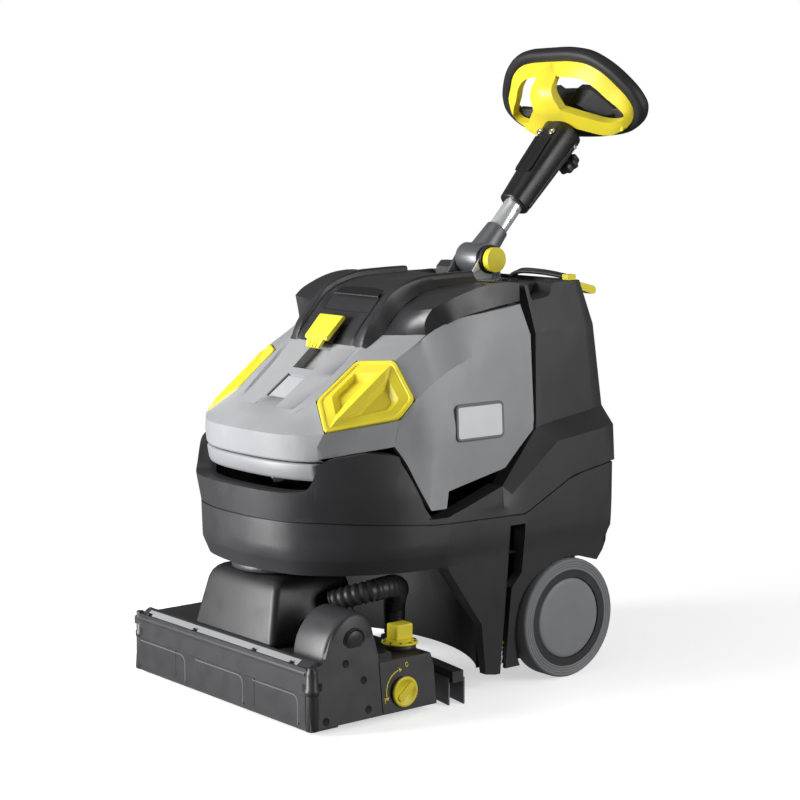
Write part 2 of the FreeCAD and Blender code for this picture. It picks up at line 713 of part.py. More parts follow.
def make_front_box():
    low, high = head_face_x(8), head_face_x(104)
    box = slab_y([(-low, 8), (low, 8), (high, 104), (-high, 104)], -385, -334)
    low, high = low - 4, high - 4
    box = box.cut(slab_y([(-low, 0), (low, 0), (high, 100), (-high, 100)], -381, -338))
    for x_low, x_high in ((-232, -120), (-100, 100), (120, 232)):
        box = box.fuse(block(x_low, x_high, -386.5, -384, 18, 62))
    post = disc(238, -379, 10, Z, 6.0, 96)
    box = box.fuse([post, mirrored(post)])
    return box.cut(block(-222, 222, -381, -365, 103, 110))


def make_front_strip():
    return block(-220, 220, -380, -366, 103, 106)


def stadium(radius, x_low, x_high):
    """The outline of a belt round its two pulleys, as a solid."""
    top = place(x_low, dim("motor_y"), dim("motor_z"))
    low = place(x_low, dim("brush_y"), dim("brush_z"))
    length = x_high - x_low
    run = low - top
    side = run.cross(X)
    side.normalize()
    side = side * radius
    corners = [top + side, low + side, low - side, top - side]
    middle = Part.Face(Part.makePolygon(corners + corners[:1])).extrude(X * length)
    ends = Part.makeCylinder(radius, length, top, X).fuse(Part.makeCylinder(radius, length, low, X))
    return ends.fuse(middle).removeSplitter()


def make_drive_belt():
    return stadium(dim("pulley_radius") + 3.3, 213, 223).cut(stadium(dim("pulley_radius") + 0.3, 212, 224))


def make_motor_pulley():
    wheel = disc(213, dim("motor_y"), dim("motor_z"), X, dim("pulley_radius"), 10)
    shaft = disc(84, dim("motor_y"), dim("motor_z"), X, 6.0, 141)
    return wheel.fuse(shaft)


def make_brush_motor():
    motor = disc(-80, dim("motor_y"), dim("motor_z"), X, dim("motor_radius"), 166)
    return motor.cut(disc(80, dim("motor_y"), dim("motor_z"), X, 12.0, 12))


def make_brush_core():
    half = dim("brush_half")
    core = disc(-half, dim("brush_y"), dim("brush_z"), X, dim("brush_core_radius"), 2 * half)
    shaft = disc(-236, dim("brush_y"), dim("brush_z"), X, 8.0, 466)
    pulley = disc(213, dim("brush_y"), dim("brush_z"), X, dim("pulley_radius"), 10)
    return core.fuse([shaft, pulley])


def make_brush_bristles():
    half = dim("brush_half") - 5.0
    tuft = disc(-half, dim("brush_y"), dim("brush_z"), X, dim("brush_radius"), 2 * half)
    return tuft.cut(disc(-half, dim("brush_y"), dim("brush_z"), X, dim("brush_core_radius"), 2 * half))


def hump_outline(inset):
    """Arch of the drive cover seen from the side, as (y, z)."""
    points = [(-333 + inset, 10), (-333 + inset, 104)]
    points += [(-349 + inset, 104.5), (-347 + inset, 118)]
    points += [(-332 + inset, 150), (-312, 171 - inset), (-290, 176 - inset), (-268, 170 - inset)]
    points += [(-252 - inset, 146), (-247 - inset, 118), (-247 - inset, 10)]
    return points


def make_drive_cover_left():
    plate = slab_x(hump_outline(0), 232, 250).cut(block(200, 300, -360, -333.5, 0, 104.4))
    hump = slab_x(hump_outline(0), 150, 233).common(block(140, 260, -360, -240, 104.5, 200))
    inside = slab_x(hump_outline(4), 154, 228).common(block(140, 260, -360, -240, 104.4, 200))
    cover = plate.fuse(hump).cut(inside).cut(lean_cut())
    cover = cover.cut(disc(140, dim("motor_y"), dim("motor_z"), X, 9.0, 20))
    cover = cover.cut(disc(220, dim("brush_y"), dim("brush_z"), X, 9.0, 17))
    for screw in make_cover_screws().Solids:
        cover = cover.cut(screw)
    return cover


def make_side_cover_right():
    plate = slab_x([(-333, 10), (-333, 104), (-247, 104), (-247, 10)], 232, 250).cut(lean_cut())
    return mirrored(plate.cut(disc(220, dim("brush_y"), dim("brush_z"), X, 9.0, 17)))


def make_cover_screws():
    heads = []
    for y, z in ((-311, 100), (-277, 72), (-274, 21)):
        heads.append(disc(head_face_x(z) - 1.6, y, z, X, 3.5, 2.0))
    return Part.makeCompound(heads)


def make_pressure_knob():
    base = disc(244.4, -203, 40, X, 24.0, 2.0)
    grip = slab_x([(-222, 30), (-217, 23), (-184, 50), (-189, 57)], 246, 250)
    return base.fuse(grip.common(disc(241, -203, 40, X, 24.0, 12.0)))


def make_squeegee_knob():
    flange = disc(182, -162, 91.4, Z, 29.0, 7.0)
    grip = block(167, 197, -180, -144, 98, 126)
    crown = block(171, 193, -172, -152, 126, 132)
    return flange.fuse([grip.common(disc(182, -162, 90, Z, 22.0, 50)), crown])


def squeegee_arc(offset, thickness, z_low, z_high, half):
    """A strip that bows towards the rear between the two ends."""
    sag = dim("squeegee_sag")
    reach = dim("squeegee_half")
    radius = (reach ** 2 + sag ** 2) / (2 * sag)
    centre_y = dim("squeegee_end_y") + sag + offset - radius
    outer = disc(0, centre_y, z_low, Z, radius, z_high - z_low)
    inner = disc(0, centre_y, z_low - 1, Z, radius - thickness, z_high - z_low + 2)
    return outer.cut(inner).common(block(-half, half, -160, 60, z_low - 2, z_high + 2))


def make_squeegee_beam():
    beam = squeegee_arc(-3.5, 22.0, 38, 56, dim("squeegee_half"))
    neck = disc(70, -80, 50, Z, 24.0, 26.0)
    beam = beam.fuse([neck, block(-66, 66, -103.5, -76, 44, 60)])
    return beam.cut(disc(70, -80, 20, Z, 19.0, 60))


def make_squeegee_blades():
    rear = squeegee_arc(0.0, 3.0, 0, 44, dim("squeegee_half"))
    front = squeegee_arc(-26.0, 3.0, 0, 44, dim("squeegee_half") - 8.0)
    return Part.makeCompound([rear, front])


def tube_along(points, radius):
    """A solid cord of straight runs joined by tangent arcs as large as the runs allow."""
    edges = []
    start = points[0]
    for before, corner, after in zip(points, points[1:], points[2:]):
        first = before - corner
        second = after - corner
        turn = math.pi - first.getAngle(second)
        setback = 0.45 * min(first.Length, second.Length)
        bend = setback / math.tan(turn / 2.0)
        first.normalize()
        second.normalize()
        entry = corner + first * setback
        leave = corner + second * setback
        bisector = first + second
        bisector.normalize()
        middle = corner + bisector * (bend / math.cos(turn / 2.0) - bend)
        edges.append(Part.LineSegment(start, entry).toShape())
        edges.append(Part.Arc(entry, middle, leave).toShape())
        start = leave
    edges.append(Part.LineSegment(start, points[-1]).toShape())
    path = Part.Wire(edges)
    section = Part.Wire(Part.makeCircle(radius, points[0], points[1] - points[0]))
    tube = path.makePipeShell([section], True, True)
    share = tube.Volume / (math.pi * radius ** 2 * path.Length)
    print("cord of %.1f mm across and %.1f mm long, volume share %.3f" % (2 * radius, path.Length, share))
    return tube


SUCTION_ROUTE = [(70, -80, 76), (78, -88, 128), (132, -128, 176), (158, -196, 184), (112, -246, 165)]
DRAIN_ROUTE = [(204, 37, 257), (204, 37, 214), (204, 36.6, 166), (204.2, 35, 118), (204.5, 33, 74)]
CABLE_ROUTES = (
    [(58, 192, 656), (64, 194, 669), (112, 197, 669), (150, 202, 666), (173.5, 206, 662)],
    [(58, 183, 656), (66, 185, 666), (114, 188, 667), (150, 192, 665), (173.5, 197, 661.5)],
)


def route(points):
    return [place(x, y, z) for x, y, z in points]


def make_suction_hose():
    return tube_along(route(SUCTION_ROUTE), 18.0)


def make_drain_hose():
    return tube_along(route(DRAIN_ROUTE), dim("hose_radius"))


def make_drain_hose_ring():
    axis = route(DRAIN_ROUTE)[-1] - route(DRAIN_ROUTE)[-2]
    axis.normalize()
    return Part.makeCylinder(4.2, 4.0, route(DRAIN_ROUTE)[-1], axis)


def make_drain_plug():
    """Barbed plug that closes the end of the drain hose."""
    axis = route(DRAIN_ROUTE)[-1] - route(DRAIN_ROUTE)[-2]
    axis.normalize()
    start = route(DRAIN_ROUTE)[-1] + axis * 4.0
    plug = Part.makeCylinder(3.6, 34.0, start, axis)
    for step in (4, 12, 20):
        plug = plug.fuse(Part.makeCone(5.0, 3.6, 6.0, start + axis * step, axis))
    return plug


def make_drain_fitting():
    return disc(204, 37, 257, Z, 5.9, 14.8)


def make_handle_cables():
    return Part.makeCompound([tube_along(route(points), 3.5) for points in CABLE_ROUTES])


def make_cable_clip():
    return block(174.6, 189, 192, 211, 656.5, 666)


def make_rear_hook():
    """Bent hook for the charging lead on the rear left corner."""
    top = [(216, 651), (226, 652), (257, 644), (261, 639)]
    underside = [(259, 632), (252, 631), (230, 638), (222, 638)]
    return slab_x(top + underside, 168, 186).cut(black_form)


def make_deck_fittings():
    """Lifting lug and cable saddle on the deck."""
    lug = slab_x([(150, 648), (186, 648), (182, 672), (176, 678), (162, 678), (152, 668)], -100, -64)
    lug = lug.cut(slab_x([(162, 664), (176, 664), (174, 672), (164, 672)], -110, -60))
    saddle = block(50, 66, 178, 195, 648, 652.5)
    return Part.makeCompound([lug, saddle])


FEATURES = {
    "lower_shell": make_lower_shell,
    "fresh_water_tank": make_fresh_water_tank,
    "recovery_tank": make_recovery_tank,
    "side_plates": make_side_plates,
    "badge_plate": make_badge_plate,
    "tank_lid": make_tank_lid,
    "lid_seal": make_lid_seal,
    "lid_latch": make_lid_latch,
    "filler_cap_left": lambda: make_cap(1),
    "filler_cap_right": lambda: make_cap(-1),
    "battery_pack": lambda: block(-130, 130, 66, 232, 225, 282),
    "suction_turbine": lambda: disc(0, -60, 224, Z, 60.0, 90.0),
    "chassis_frame": make_chassis_frame,
    "column_bracket": make_column_bracket,
    "pivot_pin": make_pivot_pin,
    "fold_button": make_fold_button,
    "column_socket": make_column_socket,
    "column_tube": make_column_tube,
    "column_sleeve": make_column_sleeve,
    "clamp_knob": make_clamp_knob,
    "steering_rim": make_steering_rim,
    "steering_shell": make_steering_shell,
    "steering_hub": make_steering_hub,
    "trigger_left": lambda: make_trigger(1),
    "trigger_right": lambda: make_trigger(-1),
    "power_button": make_power_button,
    "turntable_ring": make_turntable_ring,
    "swivel_hub": make_swivel_hub,
    "head_housing": make_head_housing,
    "motor_dome": make_motor_dome,
    "front_box": make_front_box,
    "front_strip": make_front_strip,
    "drive_cover_left": make_drive_cover_left,
    "side_cover_right": make_side_cover_right,
    "cover_screws": make_cover_screws,
    "brush_motor": make_brush_motor,
    "motor_pulley": make_motor_pulley,
    "drive_belt": make_drive_belt,
    "brush_core": make_brush_core,
    "brush_bristles": make_brush_bristles,
    "pressure_knob": make_pressure_knob,
    "squeegee_knob": make_squeegee_knob,
    "squeegee_beam": make_squeegee_beam,
    "squeegee_blades": make_squeegee_blades,
    "suction_hose": make_suction_hose,
    "drain_fitting": make_drain_fitting,
    "drain_hose": make_drain_hose,
    "drain_hose_ring": make_drain_hose_ring,
    "drain_plug": make_drain_plug,
    "handle_cables": make_handle_cables,
    "cable_clip": make_cable_clip,
    "rear_hook": make_rear_hook,
    "deck_fittings": make_deck_fittings,
}

make_wheels()
make_axle()
for node_name, maker in FEATURES.items():
    keep(node_name, maker())

doc.recompute()
os.makedirs("parts", exist_ok=True)
overall = FreeCAD.BoundBox()
for node in nodes:
    shape = node.Shape
    if shape.isNull() or not shape.isValid():
        raise SystemExit("bad shape: " + node.Label)
    if "Invalid" in node.State or "Error" in node.State:
        raise SystemExit("bad state: " + node.Label)
    shape.exportStep("parts/%s.step" % node.Label)
    overall.add(shape.BoundBox)
    print("%-18s solids %d, volume %.0f mm3" % (node.Label, len(shape.Solids), shape.Volume))
print(overall)
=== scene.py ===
import json
import math

import bmesh
import bpy
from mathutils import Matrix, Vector


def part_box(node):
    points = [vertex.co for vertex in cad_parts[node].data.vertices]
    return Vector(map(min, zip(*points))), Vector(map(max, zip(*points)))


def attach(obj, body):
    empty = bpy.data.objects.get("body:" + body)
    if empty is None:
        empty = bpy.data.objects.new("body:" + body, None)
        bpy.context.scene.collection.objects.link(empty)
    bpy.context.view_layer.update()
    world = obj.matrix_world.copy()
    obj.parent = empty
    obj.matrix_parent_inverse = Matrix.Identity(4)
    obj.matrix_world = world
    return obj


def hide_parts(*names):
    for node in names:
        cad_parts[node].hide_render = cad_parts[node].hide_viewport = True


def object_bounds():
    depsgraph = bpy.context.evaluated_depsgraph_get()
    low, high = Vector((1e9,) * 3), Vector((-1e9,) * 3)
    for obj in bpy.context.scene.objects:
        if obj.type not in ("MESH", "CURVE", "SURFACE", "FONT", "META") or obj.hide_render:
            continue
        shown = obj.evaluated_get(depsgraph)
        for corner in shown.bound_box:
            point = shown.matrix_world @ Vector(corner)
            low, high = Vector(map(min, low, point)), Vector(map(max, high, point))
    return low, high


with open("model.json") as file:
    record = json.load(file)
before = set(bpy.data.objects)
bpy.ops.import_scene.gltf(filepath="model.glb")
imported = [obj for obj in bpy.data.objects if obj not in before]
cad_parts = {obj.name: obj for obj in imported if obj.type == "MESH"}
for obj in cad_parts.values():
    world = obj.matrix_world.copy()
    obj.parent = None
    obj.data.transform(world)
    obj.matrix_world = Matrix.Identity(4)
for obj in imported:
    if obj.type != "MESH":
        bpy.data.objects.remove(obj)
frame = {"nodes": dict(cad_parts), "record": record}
cad_low, cad_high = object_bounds()
nodes = frame["nodes"]

# ---------------------------------------------------------------- frame of reference
# Stations are in millimetres, as on the chassis drawing: the wheel axle stands at y 157.
AXLE_STATION_Y = 157.0
tyre_low, tyre_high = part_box("tyre_left")
DATUM_Y = AXLE_STATION_Y - 500.0 * (tyre_low.y + tyre_high.y)


def at(x, y, z):
    """A drawing station in millimetres as a point of the frame in metres."""
    return Vector((x, y - DATUM_Y, z)) / 1000.0


# ---------------------------------------------------------------- materials

def linear(code):
    """A display colour such as "#38383a" as linear RGBA."""
    values = []
    for index in (1, 3, 5):
        part = int(code[index:index + 2], 16) / 255.0
        values.append(part / 12.92 if part <= 0.04045 else ((part + 0.055) / 1.055) ** 2.4)
    return (*values, 1.0)


def new_material(name):
    material = bpy.data.materials.new(name)
    material.use_nodes = True
    tree = material.node_tree
    shader = tree.nodes["Principled BSDF"]
    return material, tree, shader


def noise(tree, scale, detail=3.0, rough=0.55):
    coords = tree.nodes.new("ShaderNodeTexCoord")
    texture = tree.nodes.new("ShaderNodeTexNoise")
    texture.inputs["Scale"].default_value = scale
    texture.inputs["Detail"].default_value = detail
    texture.inputs["Roughness"].default_value = rough
    tree.links.new(coords.outputs["Object"], texture.inputs["Vector"])
    return texture.outputs["Fac"]


def remap(tree, value, low, high, new_low, new_high):
    node = tree.nodes.new("ShaderNodeMapRange")
    for socket, number in zip(("From Min", "From Max", "To Min", "To Max"), (low, high, new_low, new_high)):
        node.inputs[socket].default_value = number
    tree.links.new(value, node.inputs["Value"])
    return node.outputs["Result"]


def mix_colour(tree, factor, first, second):
    node = tree.nodes.new("ShaderNodeMix")
    node.data_type = "RGBA"
    tree.links.new(factor, node.inputs[0])
    for socket, colour in ((node.inputs[6], first), (node.inputs[7], second)):
        if isinstance(colour, tuple):
            socket.default_value = colour
        else:
            tree.links.new(colour, socket)
    return node.outputs[2]


def moulded(name, colour, rough=0.42, grain=0.35, grain_scale=900.0, edge_wear_and_highlight=0.25, specular=0.45,
            metallic=0.0):
    """Moulded plastic or metal: fine grain, slow changes in gloss and tone, lighter edges for wear and a
    painted edge highlight.
    """
    material, tree, shader = new_material(name)
    base = linear(colour)
    pale = tuple(min(1.0, c * 1.09 + 0.002) for c in base[:3]) + (1.0,)
    tone = mix_colour(tree, remap(tree, noise(tree, 9.0), 0.35, 0.65, 0.0, 1.0), base, pale)
    geometry = tree.nodes.new("ShaderNodeNewGeometry")
    # sharp edges are lightened: wear together with a painted edge highlight
    edge = remap(tree, geometry.outputs["Pointiness"], 0.53, 0.62, 0.0, edge_wear_and_highlight)
    edge_wear_and_highlight_colour = tuple(min(1.0, c * 1.5 + 0.02) for c in base[:3]) + (1.0,)
    tone = mix_colour(tree, edge, tone, edge_wear_and_highlight_colour)
    tree.links.new(tone, shader.inputs["Base Color"])
    gloss = remap(tree, noise(tree, 34.0, 4.0), 0.3, 0.7, rough - 0.05, rough + 0.06)
    tree.links.new(gloss, shader.inputs["Roughness"])
    bump = tree.nodes.new("ShaderNodeBump")
    bump.inputs["Strength"].default_value = grain
    bump.inputs["Distance"].default_value = 0.0002
    tree.links.new(noise(tree, grain_scale, 2.0), bump.inputs["Height"])
    tree.links.new(bump.outputs["Normal"], shader.inputs["Normal"])
    shader.inputs["Metallic"].default_value = metallic
    shader.inputs["Specular IOR Level"].default_value = specular
    return material


def clear(name, colour):
    material, tree, shader = new_material(name)
    shader.inputs["Base Color"].default_value = linear(colour)
    shader.inputs["Transmission Weight"].default_value = 0.75
    shader.inputs["IOR"].default_value = 1.45
    gloss = remap(tree, noise(tree, 120.0), 0.3, 0.7, 0.12, 0.24)
    tree.links.new(gloss, shader.inputs["Roughness"])
    return material


MATERIALS = {
    "black_plastic": moulded("black_plastic", "#333335", rough=0.40),
    "grey_plastic": moulded("grey_plastic", "#959698", rough=0.38, edge_wear_and_highlight=0.12),
    "lid_plastic": moulded("lid_plastic", "#2e2e30", rough=0.33),
    "yellow_plastic": moulded("yellow_plastic", "#e8d736", rough=0.40, edge_wear_and_highlight=0.1),
    "rubber_black": moulded("rubber_black", "#1d1d1f", rough=0.55),
    "tyre_rubber": moulded("tyre_rubber", "#7b7c7e", rough=0.62, edge_wear_and_highlight=0.1),
    "cap_plastic": moulded("cap_plastic", "#828385", rough=0.5, edge_wear_and_highlight=0.1),
    "chrome": moulded("chrome", "#d8dadc", rough=0.16, grain=0.05, metallic=1.0, edge_wear_and_highlight=0.0),
    "steel": moulded("steel", "#b4b6b9", rough=0.3, grain=0.12, metallic=1.0, edge_wear_and_highlight=0.0),
    "cast": moulded("cast", "#707175", rough=0.42, grain=0.5, grain_scale=500.0, metallic=0.6),
    "strip_plastic": moulded("strip_plastic", "#8a8b8d", rough=0.6, grain=0.6, grain_scale=600.0),
    "blade_rubber": moulded("blade_rubber", "#7c7d80", rough=0.5),
    "bristle": moulded("bristle", "#4a4a4e", rough=0.7, grain=1.0, grain_scale=700.0),
    "clear_hose": clear("clear_hose", "#e8eaeb"),
    "white_plastic": moulded("white_plastic", "#e4e5e6", rough=0.45),
    "plate_film": moulded("plate_film", "#dcdddf", rough=0.3, grain=0.1),
}

# Variants of the materials above, for single pieces.
SHADES = {
    # darker copy of the grey plastic for the tank's lip: painted shade
    "lip": moulded("grey_lip_painted_shade", "#88898b", rough=0.42, edge_wear_and_highlight=0.2),
    "dome": moulded("black_dome", "#1e1e20", rough=0.44),
    "plate": moulded("black_plate", "#28282a", rough=0.44),
    "sleeve": moulded("black_sleeve", "#1f1f21", rough=0.30),
    "hub": moulded("black_hub", "#2a2a2c", rough=0.40, grain=0.5),
    "head": moulded("black_head", "#262628", rough=0.44),
    # pale grey for the raised edges on the head's front: painted highlight
    "rib": moulded("painted_highlight_rib", "#5e5e61", rough=0.4, edge_wear_and_highlight=0.0),
    # near-black for the hollows under the body and in the flank slots: painted shade
    "inside": moulded("black_inside", "#0e0e0f", rough=0.6, edge_wear_and_highlight=0.0),
    "plate_rim": moulded("grey_plate_rim", "#6e6f71", rough=0.4, edge_wear_and_highlight=0.1),
    "film": moulded("white_film", "#dedfe1", rough=0.32, grain=0.1, edge_wear_and_highlight=0.0),
    # near-black plates and discs laid where slots, grooves and screw holes are: painted shade of the
    # hollows
    "hole_shade": moulded("painted_hole_shade", "#060607", rough=0.7, edge_wear_and_highlight=0.0),
    "field": moulded("pale_field", "#a9aaac", rough=0.30, grain=0.1),
    # dark plate colour for the lid's finger recess: painted shade
    "recess_shade": moulded("painted_recess_shade", "#161618", rough=0.45),
    # whiter, partly non-metal copy of the chrome for the column tube: painted sheen standing for its bright
    # reflections
    "tube": moulded("chrome_tube", "#eceded", rough=0.26, grain=0.03, metallic=0.7, edge_wear_and_highlight=0.0),
}

slots = {part["node"]: part["material_slot"] for part in frame["record"]["subparts"]}

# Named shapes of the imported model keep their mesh; a small rounding is added to their edges.
for name, obj in nodes.items():
    obj.data.materials.clear()
    obj.data.materials.append(MATERIALS[slots[name]])
    weld = obj.modifiers.new("weld", "WELD")
    weld.merge_threshold = 0.00001
    rounding = obj.modifiers.new("rounding", "BEVEL")
    rounding.width = 0.0012
    rounding.segments = 2
    rounding.limit_method = "ANGLE"
    rounding.angle_limit = math.radians(28)
    rounding.harden_normals = True

for node in ("front_box", "head_housing", "side_cover_right"):
    nodes[node].data.materials[0] = SHADES["head"]

# ---------------------------------------------------------------- mesh tools

def spline(points, per=6, corners=(), mirrored=True):
    """Smooth line through the points, broken at the numbered corners.

    A mirrored line starts on the middle plane.
    """
    knots = [Vector(p) for p in points]
    last = len(knots) - 1

    def tangent(index, leaving):
        if 0 < index < last and index not in corners:
            before = knots[index] - knots[index - 1]
            after = knots[index + 1] - knots[index]
            blend = before.normalized() * after.length + after.normalized() * before.length
            return blend / max(1e-9, before.length + after.length)
        if index == 0 and mirrored:
            return Vector((1.0, 0.0, 0.0))
        step = knots[index + 1] - knots[index] if leaving else knots[index] - knots[index - 1]
        return step.normalized()

    line = []
    for index in range(last):
        start, end = knots[index], knots[index + 1]
        reach = (end - start).length
        leave, arrive = tangent(index, True) * reach, tangent(index + 1, False) * reach
        for step in range(per):
            s = step / per
            line.append(start * (2 * s ** 3 - 3 * s ** 2 + 1) + leave * (s ** 3 - 2 * s ** 2 + s)
                        + end * (3 * s ** 2 - 2 * s ** 3) + arrive * (s ** 3 - s ** 2))
    line.append(knots[-1])
    return line


def turn_islands_outward(work, core):
    """Flips each connected group of faces that looks towards the core."""
    seen = set()
    for first in work.faces:
        if first in seen:
            continue
        group, queue = [], [first]
        seen.add(first)
        while queue:
            face = queue.pop()
            group.append(face)
            for edge in face.edges:
                for other in edge.link_faces:
                    if other not in seen:
                        seen.add(other)
                        queue.append(other)
        flow = sum(f.normal.dot(f.calc_center_median() - core) * f.calc_area() for f in group)
        if flow < 0:
            bmesh.ops.reverse_faces(work, faces=group)


class Skin:
    """Faces gathered in drawing stations, then turned into one piece."""

    core = Vector((0.0, 0.0, 0.4))

    def __init__(self):
        self.points = []
        self.faces = []

    def face(self, *corners):
        first = len(self.points)
        self.points.extend(Vector(c) for c in corners)
        self.faces.append(tuple(range(first, first + len(corners))))

    def lines(self, lines, steps=1, closed=False):
        """Joins lines of equal length with quads, with linear steps between them."""
        full = []
        for low, high in zip(lines, lines[1:]):
            for step in range(steps):
                s = step / steps
                full.append([a.lerp(b, s) for a, b in zip(low, high)])
        full.append(lines[-1])
        width = len(full[0])
        first = len(self.points)
        for line in full:
            self.points.extend(line)
        columns = width if closed else width - 1
        for row in range(len(full) - 1):
            for column in range(columns):
                a = first + row * width + column
                b = first + row * width + (column + 1) % width
                self.faces.append((a, b, b + width, a + width))

    def rows(self, rows, per=6, corners=(), steps=1, mirrored=True):
        self.lines([spline(row, per, corners, mirrored) for row in rows], steps)

    def hem(self, line, inward):
        """A flange from an edge line; inward gives each point's offset."""
        self.lines([line, [p + inward(p) for p in line]])

    def cap(self, loop):
        first = len(self.points)
        self.points.extend(loop)
        self.faces.append(tuple(range(first, first + len(loop))))

    def build(self, name, body, slot, both=False, flip=False, wall=0.0, bevel=1.0, angle=28.0, segments=2,
              replaces=(), material=None, merge=0.02):
        mesh = bpy.data.meshes.new(name)
        work = bmesh.new()
        made = [work.verts.new(at(*p)) for p in self.points]
        for face in self.faces:
            work.faces.new([made[i] for i in face])
        if both or flip:
            twin = [work.verts.new(at(-p[0], p[1], p[2])) for p in self.points]
            for face in self.faces:
                work.faces.new([twin[i] for i in reversed(face)])
            if flip:
                bmesh.ops.delete(work, geom=made, context="VERTS")
        bmesh.ops.remove_doubles(work, verts=work.verts, dist=merge / 1000.0)
        bmesh.ops.dissolve_degenerate(work, edges=work.edges, dist=0.00001)
        bmesh.ops.recalc_face_normals(work, faces=work.faces)
        turn_islands_outward(work, self.core)
        for face in work.faces:
            face.smooth = True
        work.to_mesh(mesh)
        work.free()
        obj = bpy.data.objects.new(name, mesh)
        bpy.context.scene.collection.objects.link(obj)
        return dress(obj, body, slot, wall, bevel, angle, segments, replaces, material)


def dress(obj, body, slot, wall=0.0, bevel=1.0, angle=28.0, segments=2, replaces=(),
          material=None):
    """Material, wall, rounded edges, body and slot of a new piece."""
    obj.data.materials.append(material or MATERIALS[slot])
    if wall:
        solid = obj.modifiers.new("wall", "SOLIDIFY")
        solid.thickness = wall / 1000.0
        solid.offset = -1.0
    if bevel:
        rounding = obj.modifiers.new("rounding", "BEVEL")
        rounding.width = bevel / 1000.0
        rounding.segments = segments
        rounding.limit_method = "ANGLE"
        rounding.angle_limit = math.radians(angle)
        rounding.harden_normals = True
        rounding.use_clamp_overlap = True
    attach(obj, body)
    if replaces:
        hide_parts(*replaces)
    return obj


def between(table, value):
    """Linear interpolation in (key, value) pairs."""
    for (a, low), (b, high) in zip(table, table[1:]):
        if value <= b:
            share = max(0.0, (value - a) / (b - a))
            return low + (high - low) * share
    return table[-1][1]


# ---------------------------------------------------------------- casing forms

# Half plan outlines of the black casing at each height: bow stations (x, y) from the middle to the flank.
BLACK_FORM = [
    (219, [(0, -338), (60, -334), (122, -316), (170, -270), (207, -200), (226, -110)]),
    (245, [(0, -349), (62, -345), (126, -326), (178, -279), (219, -202), (235, -110)]),
    (305, [(0, -352), (62, -348), (128, -327), (182, -276), (221, -199), (237, -108)]),
    (350, [(0, -357), (70, -353), (132, -334), (186, -282), (222, -203), (237, -108)]),
    (412, [(0, -347), (70, -343), (134, -325), (188, -270), (220, -195), (236, -108)]),
]
BOW = [(height, spline([(x, y, 0) for x, y in front], 10)) for height, front in BLACK_FORM]
SEAM = [(-420, 305), (-300, 304), (-190, 297), (-136, 292), (57, 288), (164, 340), (300, 362)]
SEAM_GAP = 1.2
COURSES = 6
SHELL_WALL = 2.2


def on_bow(index, z):
    """Point of the black casing's bow at a fractional index of its outline and a height."""
    for (low_z, low), (high_z, high) in zip(BOW, BOW[1:]):
        if z <= high_z:
            break
    share = min(1.0, max(0.0, (z - low_z) / (high_z - low_z)))
    whole = min(len(low) - 2, int(index))
    part = index - whole
    point = low[whole].lerp(low[whole + 1], part).lerp(high[whole].lerp(high[whole + 1], part), share)
    return Vector((point.x, point.y, z))


def bow_index(axis, value, z):
    """Where the bow's outline at a height reaches an x (axis 0) or a y (axis 1)."""
    low, high = 0.0, len(BOW[0][1]) - 1.0
    for _ in range(40):
        middle = (low + high) / 2.0
        if on_bow(middle, z)[axis] < value:
            low = middle
        else:
            high = middle
    return low


def column_between(low, high):
    return [Vector(low).lerp(Vector(high), step / COURSES) for step in range(COURSES + 1)]


# ---------------------------------------------------------------- upper black casing

# Top edge of the bow: by x around the nose, then by y down into the bay on the flank.
NOSE_EDGE = [(0, 350), (45, 350), (90, 350), (125, 350.5), (142, 352), (150, 357), (155, 366), (158, 378),
             (161, 390), (166, 399), (174, 404), (190, 408), (201, 411), (207, 410)]
BAY_EDGE = [(-199, 405), (-193, 396), (-165, 348), (-140, 305), (-136, 301), (-108, 301)]
FACET_E, FACET_D, FACET_C = (231, 10.5, 337.5), (237, 26.5, 323), (237, 126.5, 400)
FACET_P, FACET_B = (205, 108, 420), (205, 120.4, 424)
FLANK_EDGE = [(237, -60, 316.5), (237, 5, 338.7), FACET_E, FACET_D, (237, 57, 346.5), (237, 92, 373.4),
              FACET_C,
              (237, 164, 404.5), (237, 200, 408.8), (237, 236, 413), (237, 249, 414.7), (233, 258, 415.5),
              (225, 262, 416), (0, 262, 416)]
# The rear column: top of the sloping band, then the waist and the top of the column, along the same
# stations.
COLUMN_BAND = [FACET_B, (205, 164, 430.4), (205, 200, 435.6), (205, 236, 440.8), (205, 254, 443.4),
               (201, 262, 444.5), (193, 266, 445), (0, 266, 446)]
COLUMN_WAIST = [(205, 118, 576), (205, 160, 578.6), (205, 188, 580.5), (205, 216, 582.3), (205, 231, 582.7),
                (201, 239, 583), (193, 243, 583.3), (0, 243, 583.5)]
COLUMN_TOP = [(190, 190, 655.2), (190, 204, 655.6), (190, 213, 656), (186, 221, 656), (178, 225, 656),
              (0, 225, 656)]
# Hand notch in the top edge of the column's flank.
NOTCH = [(190.5, 98, 654), (191, 101, 650), (194, 103, 634), (195, 107, 628), (194.2, 140, 632.6),
         (193.4, 147, 637),
         (190.4, 156, 653), (190, 161, 655)]
NOTCH_DEPTH = 40.0


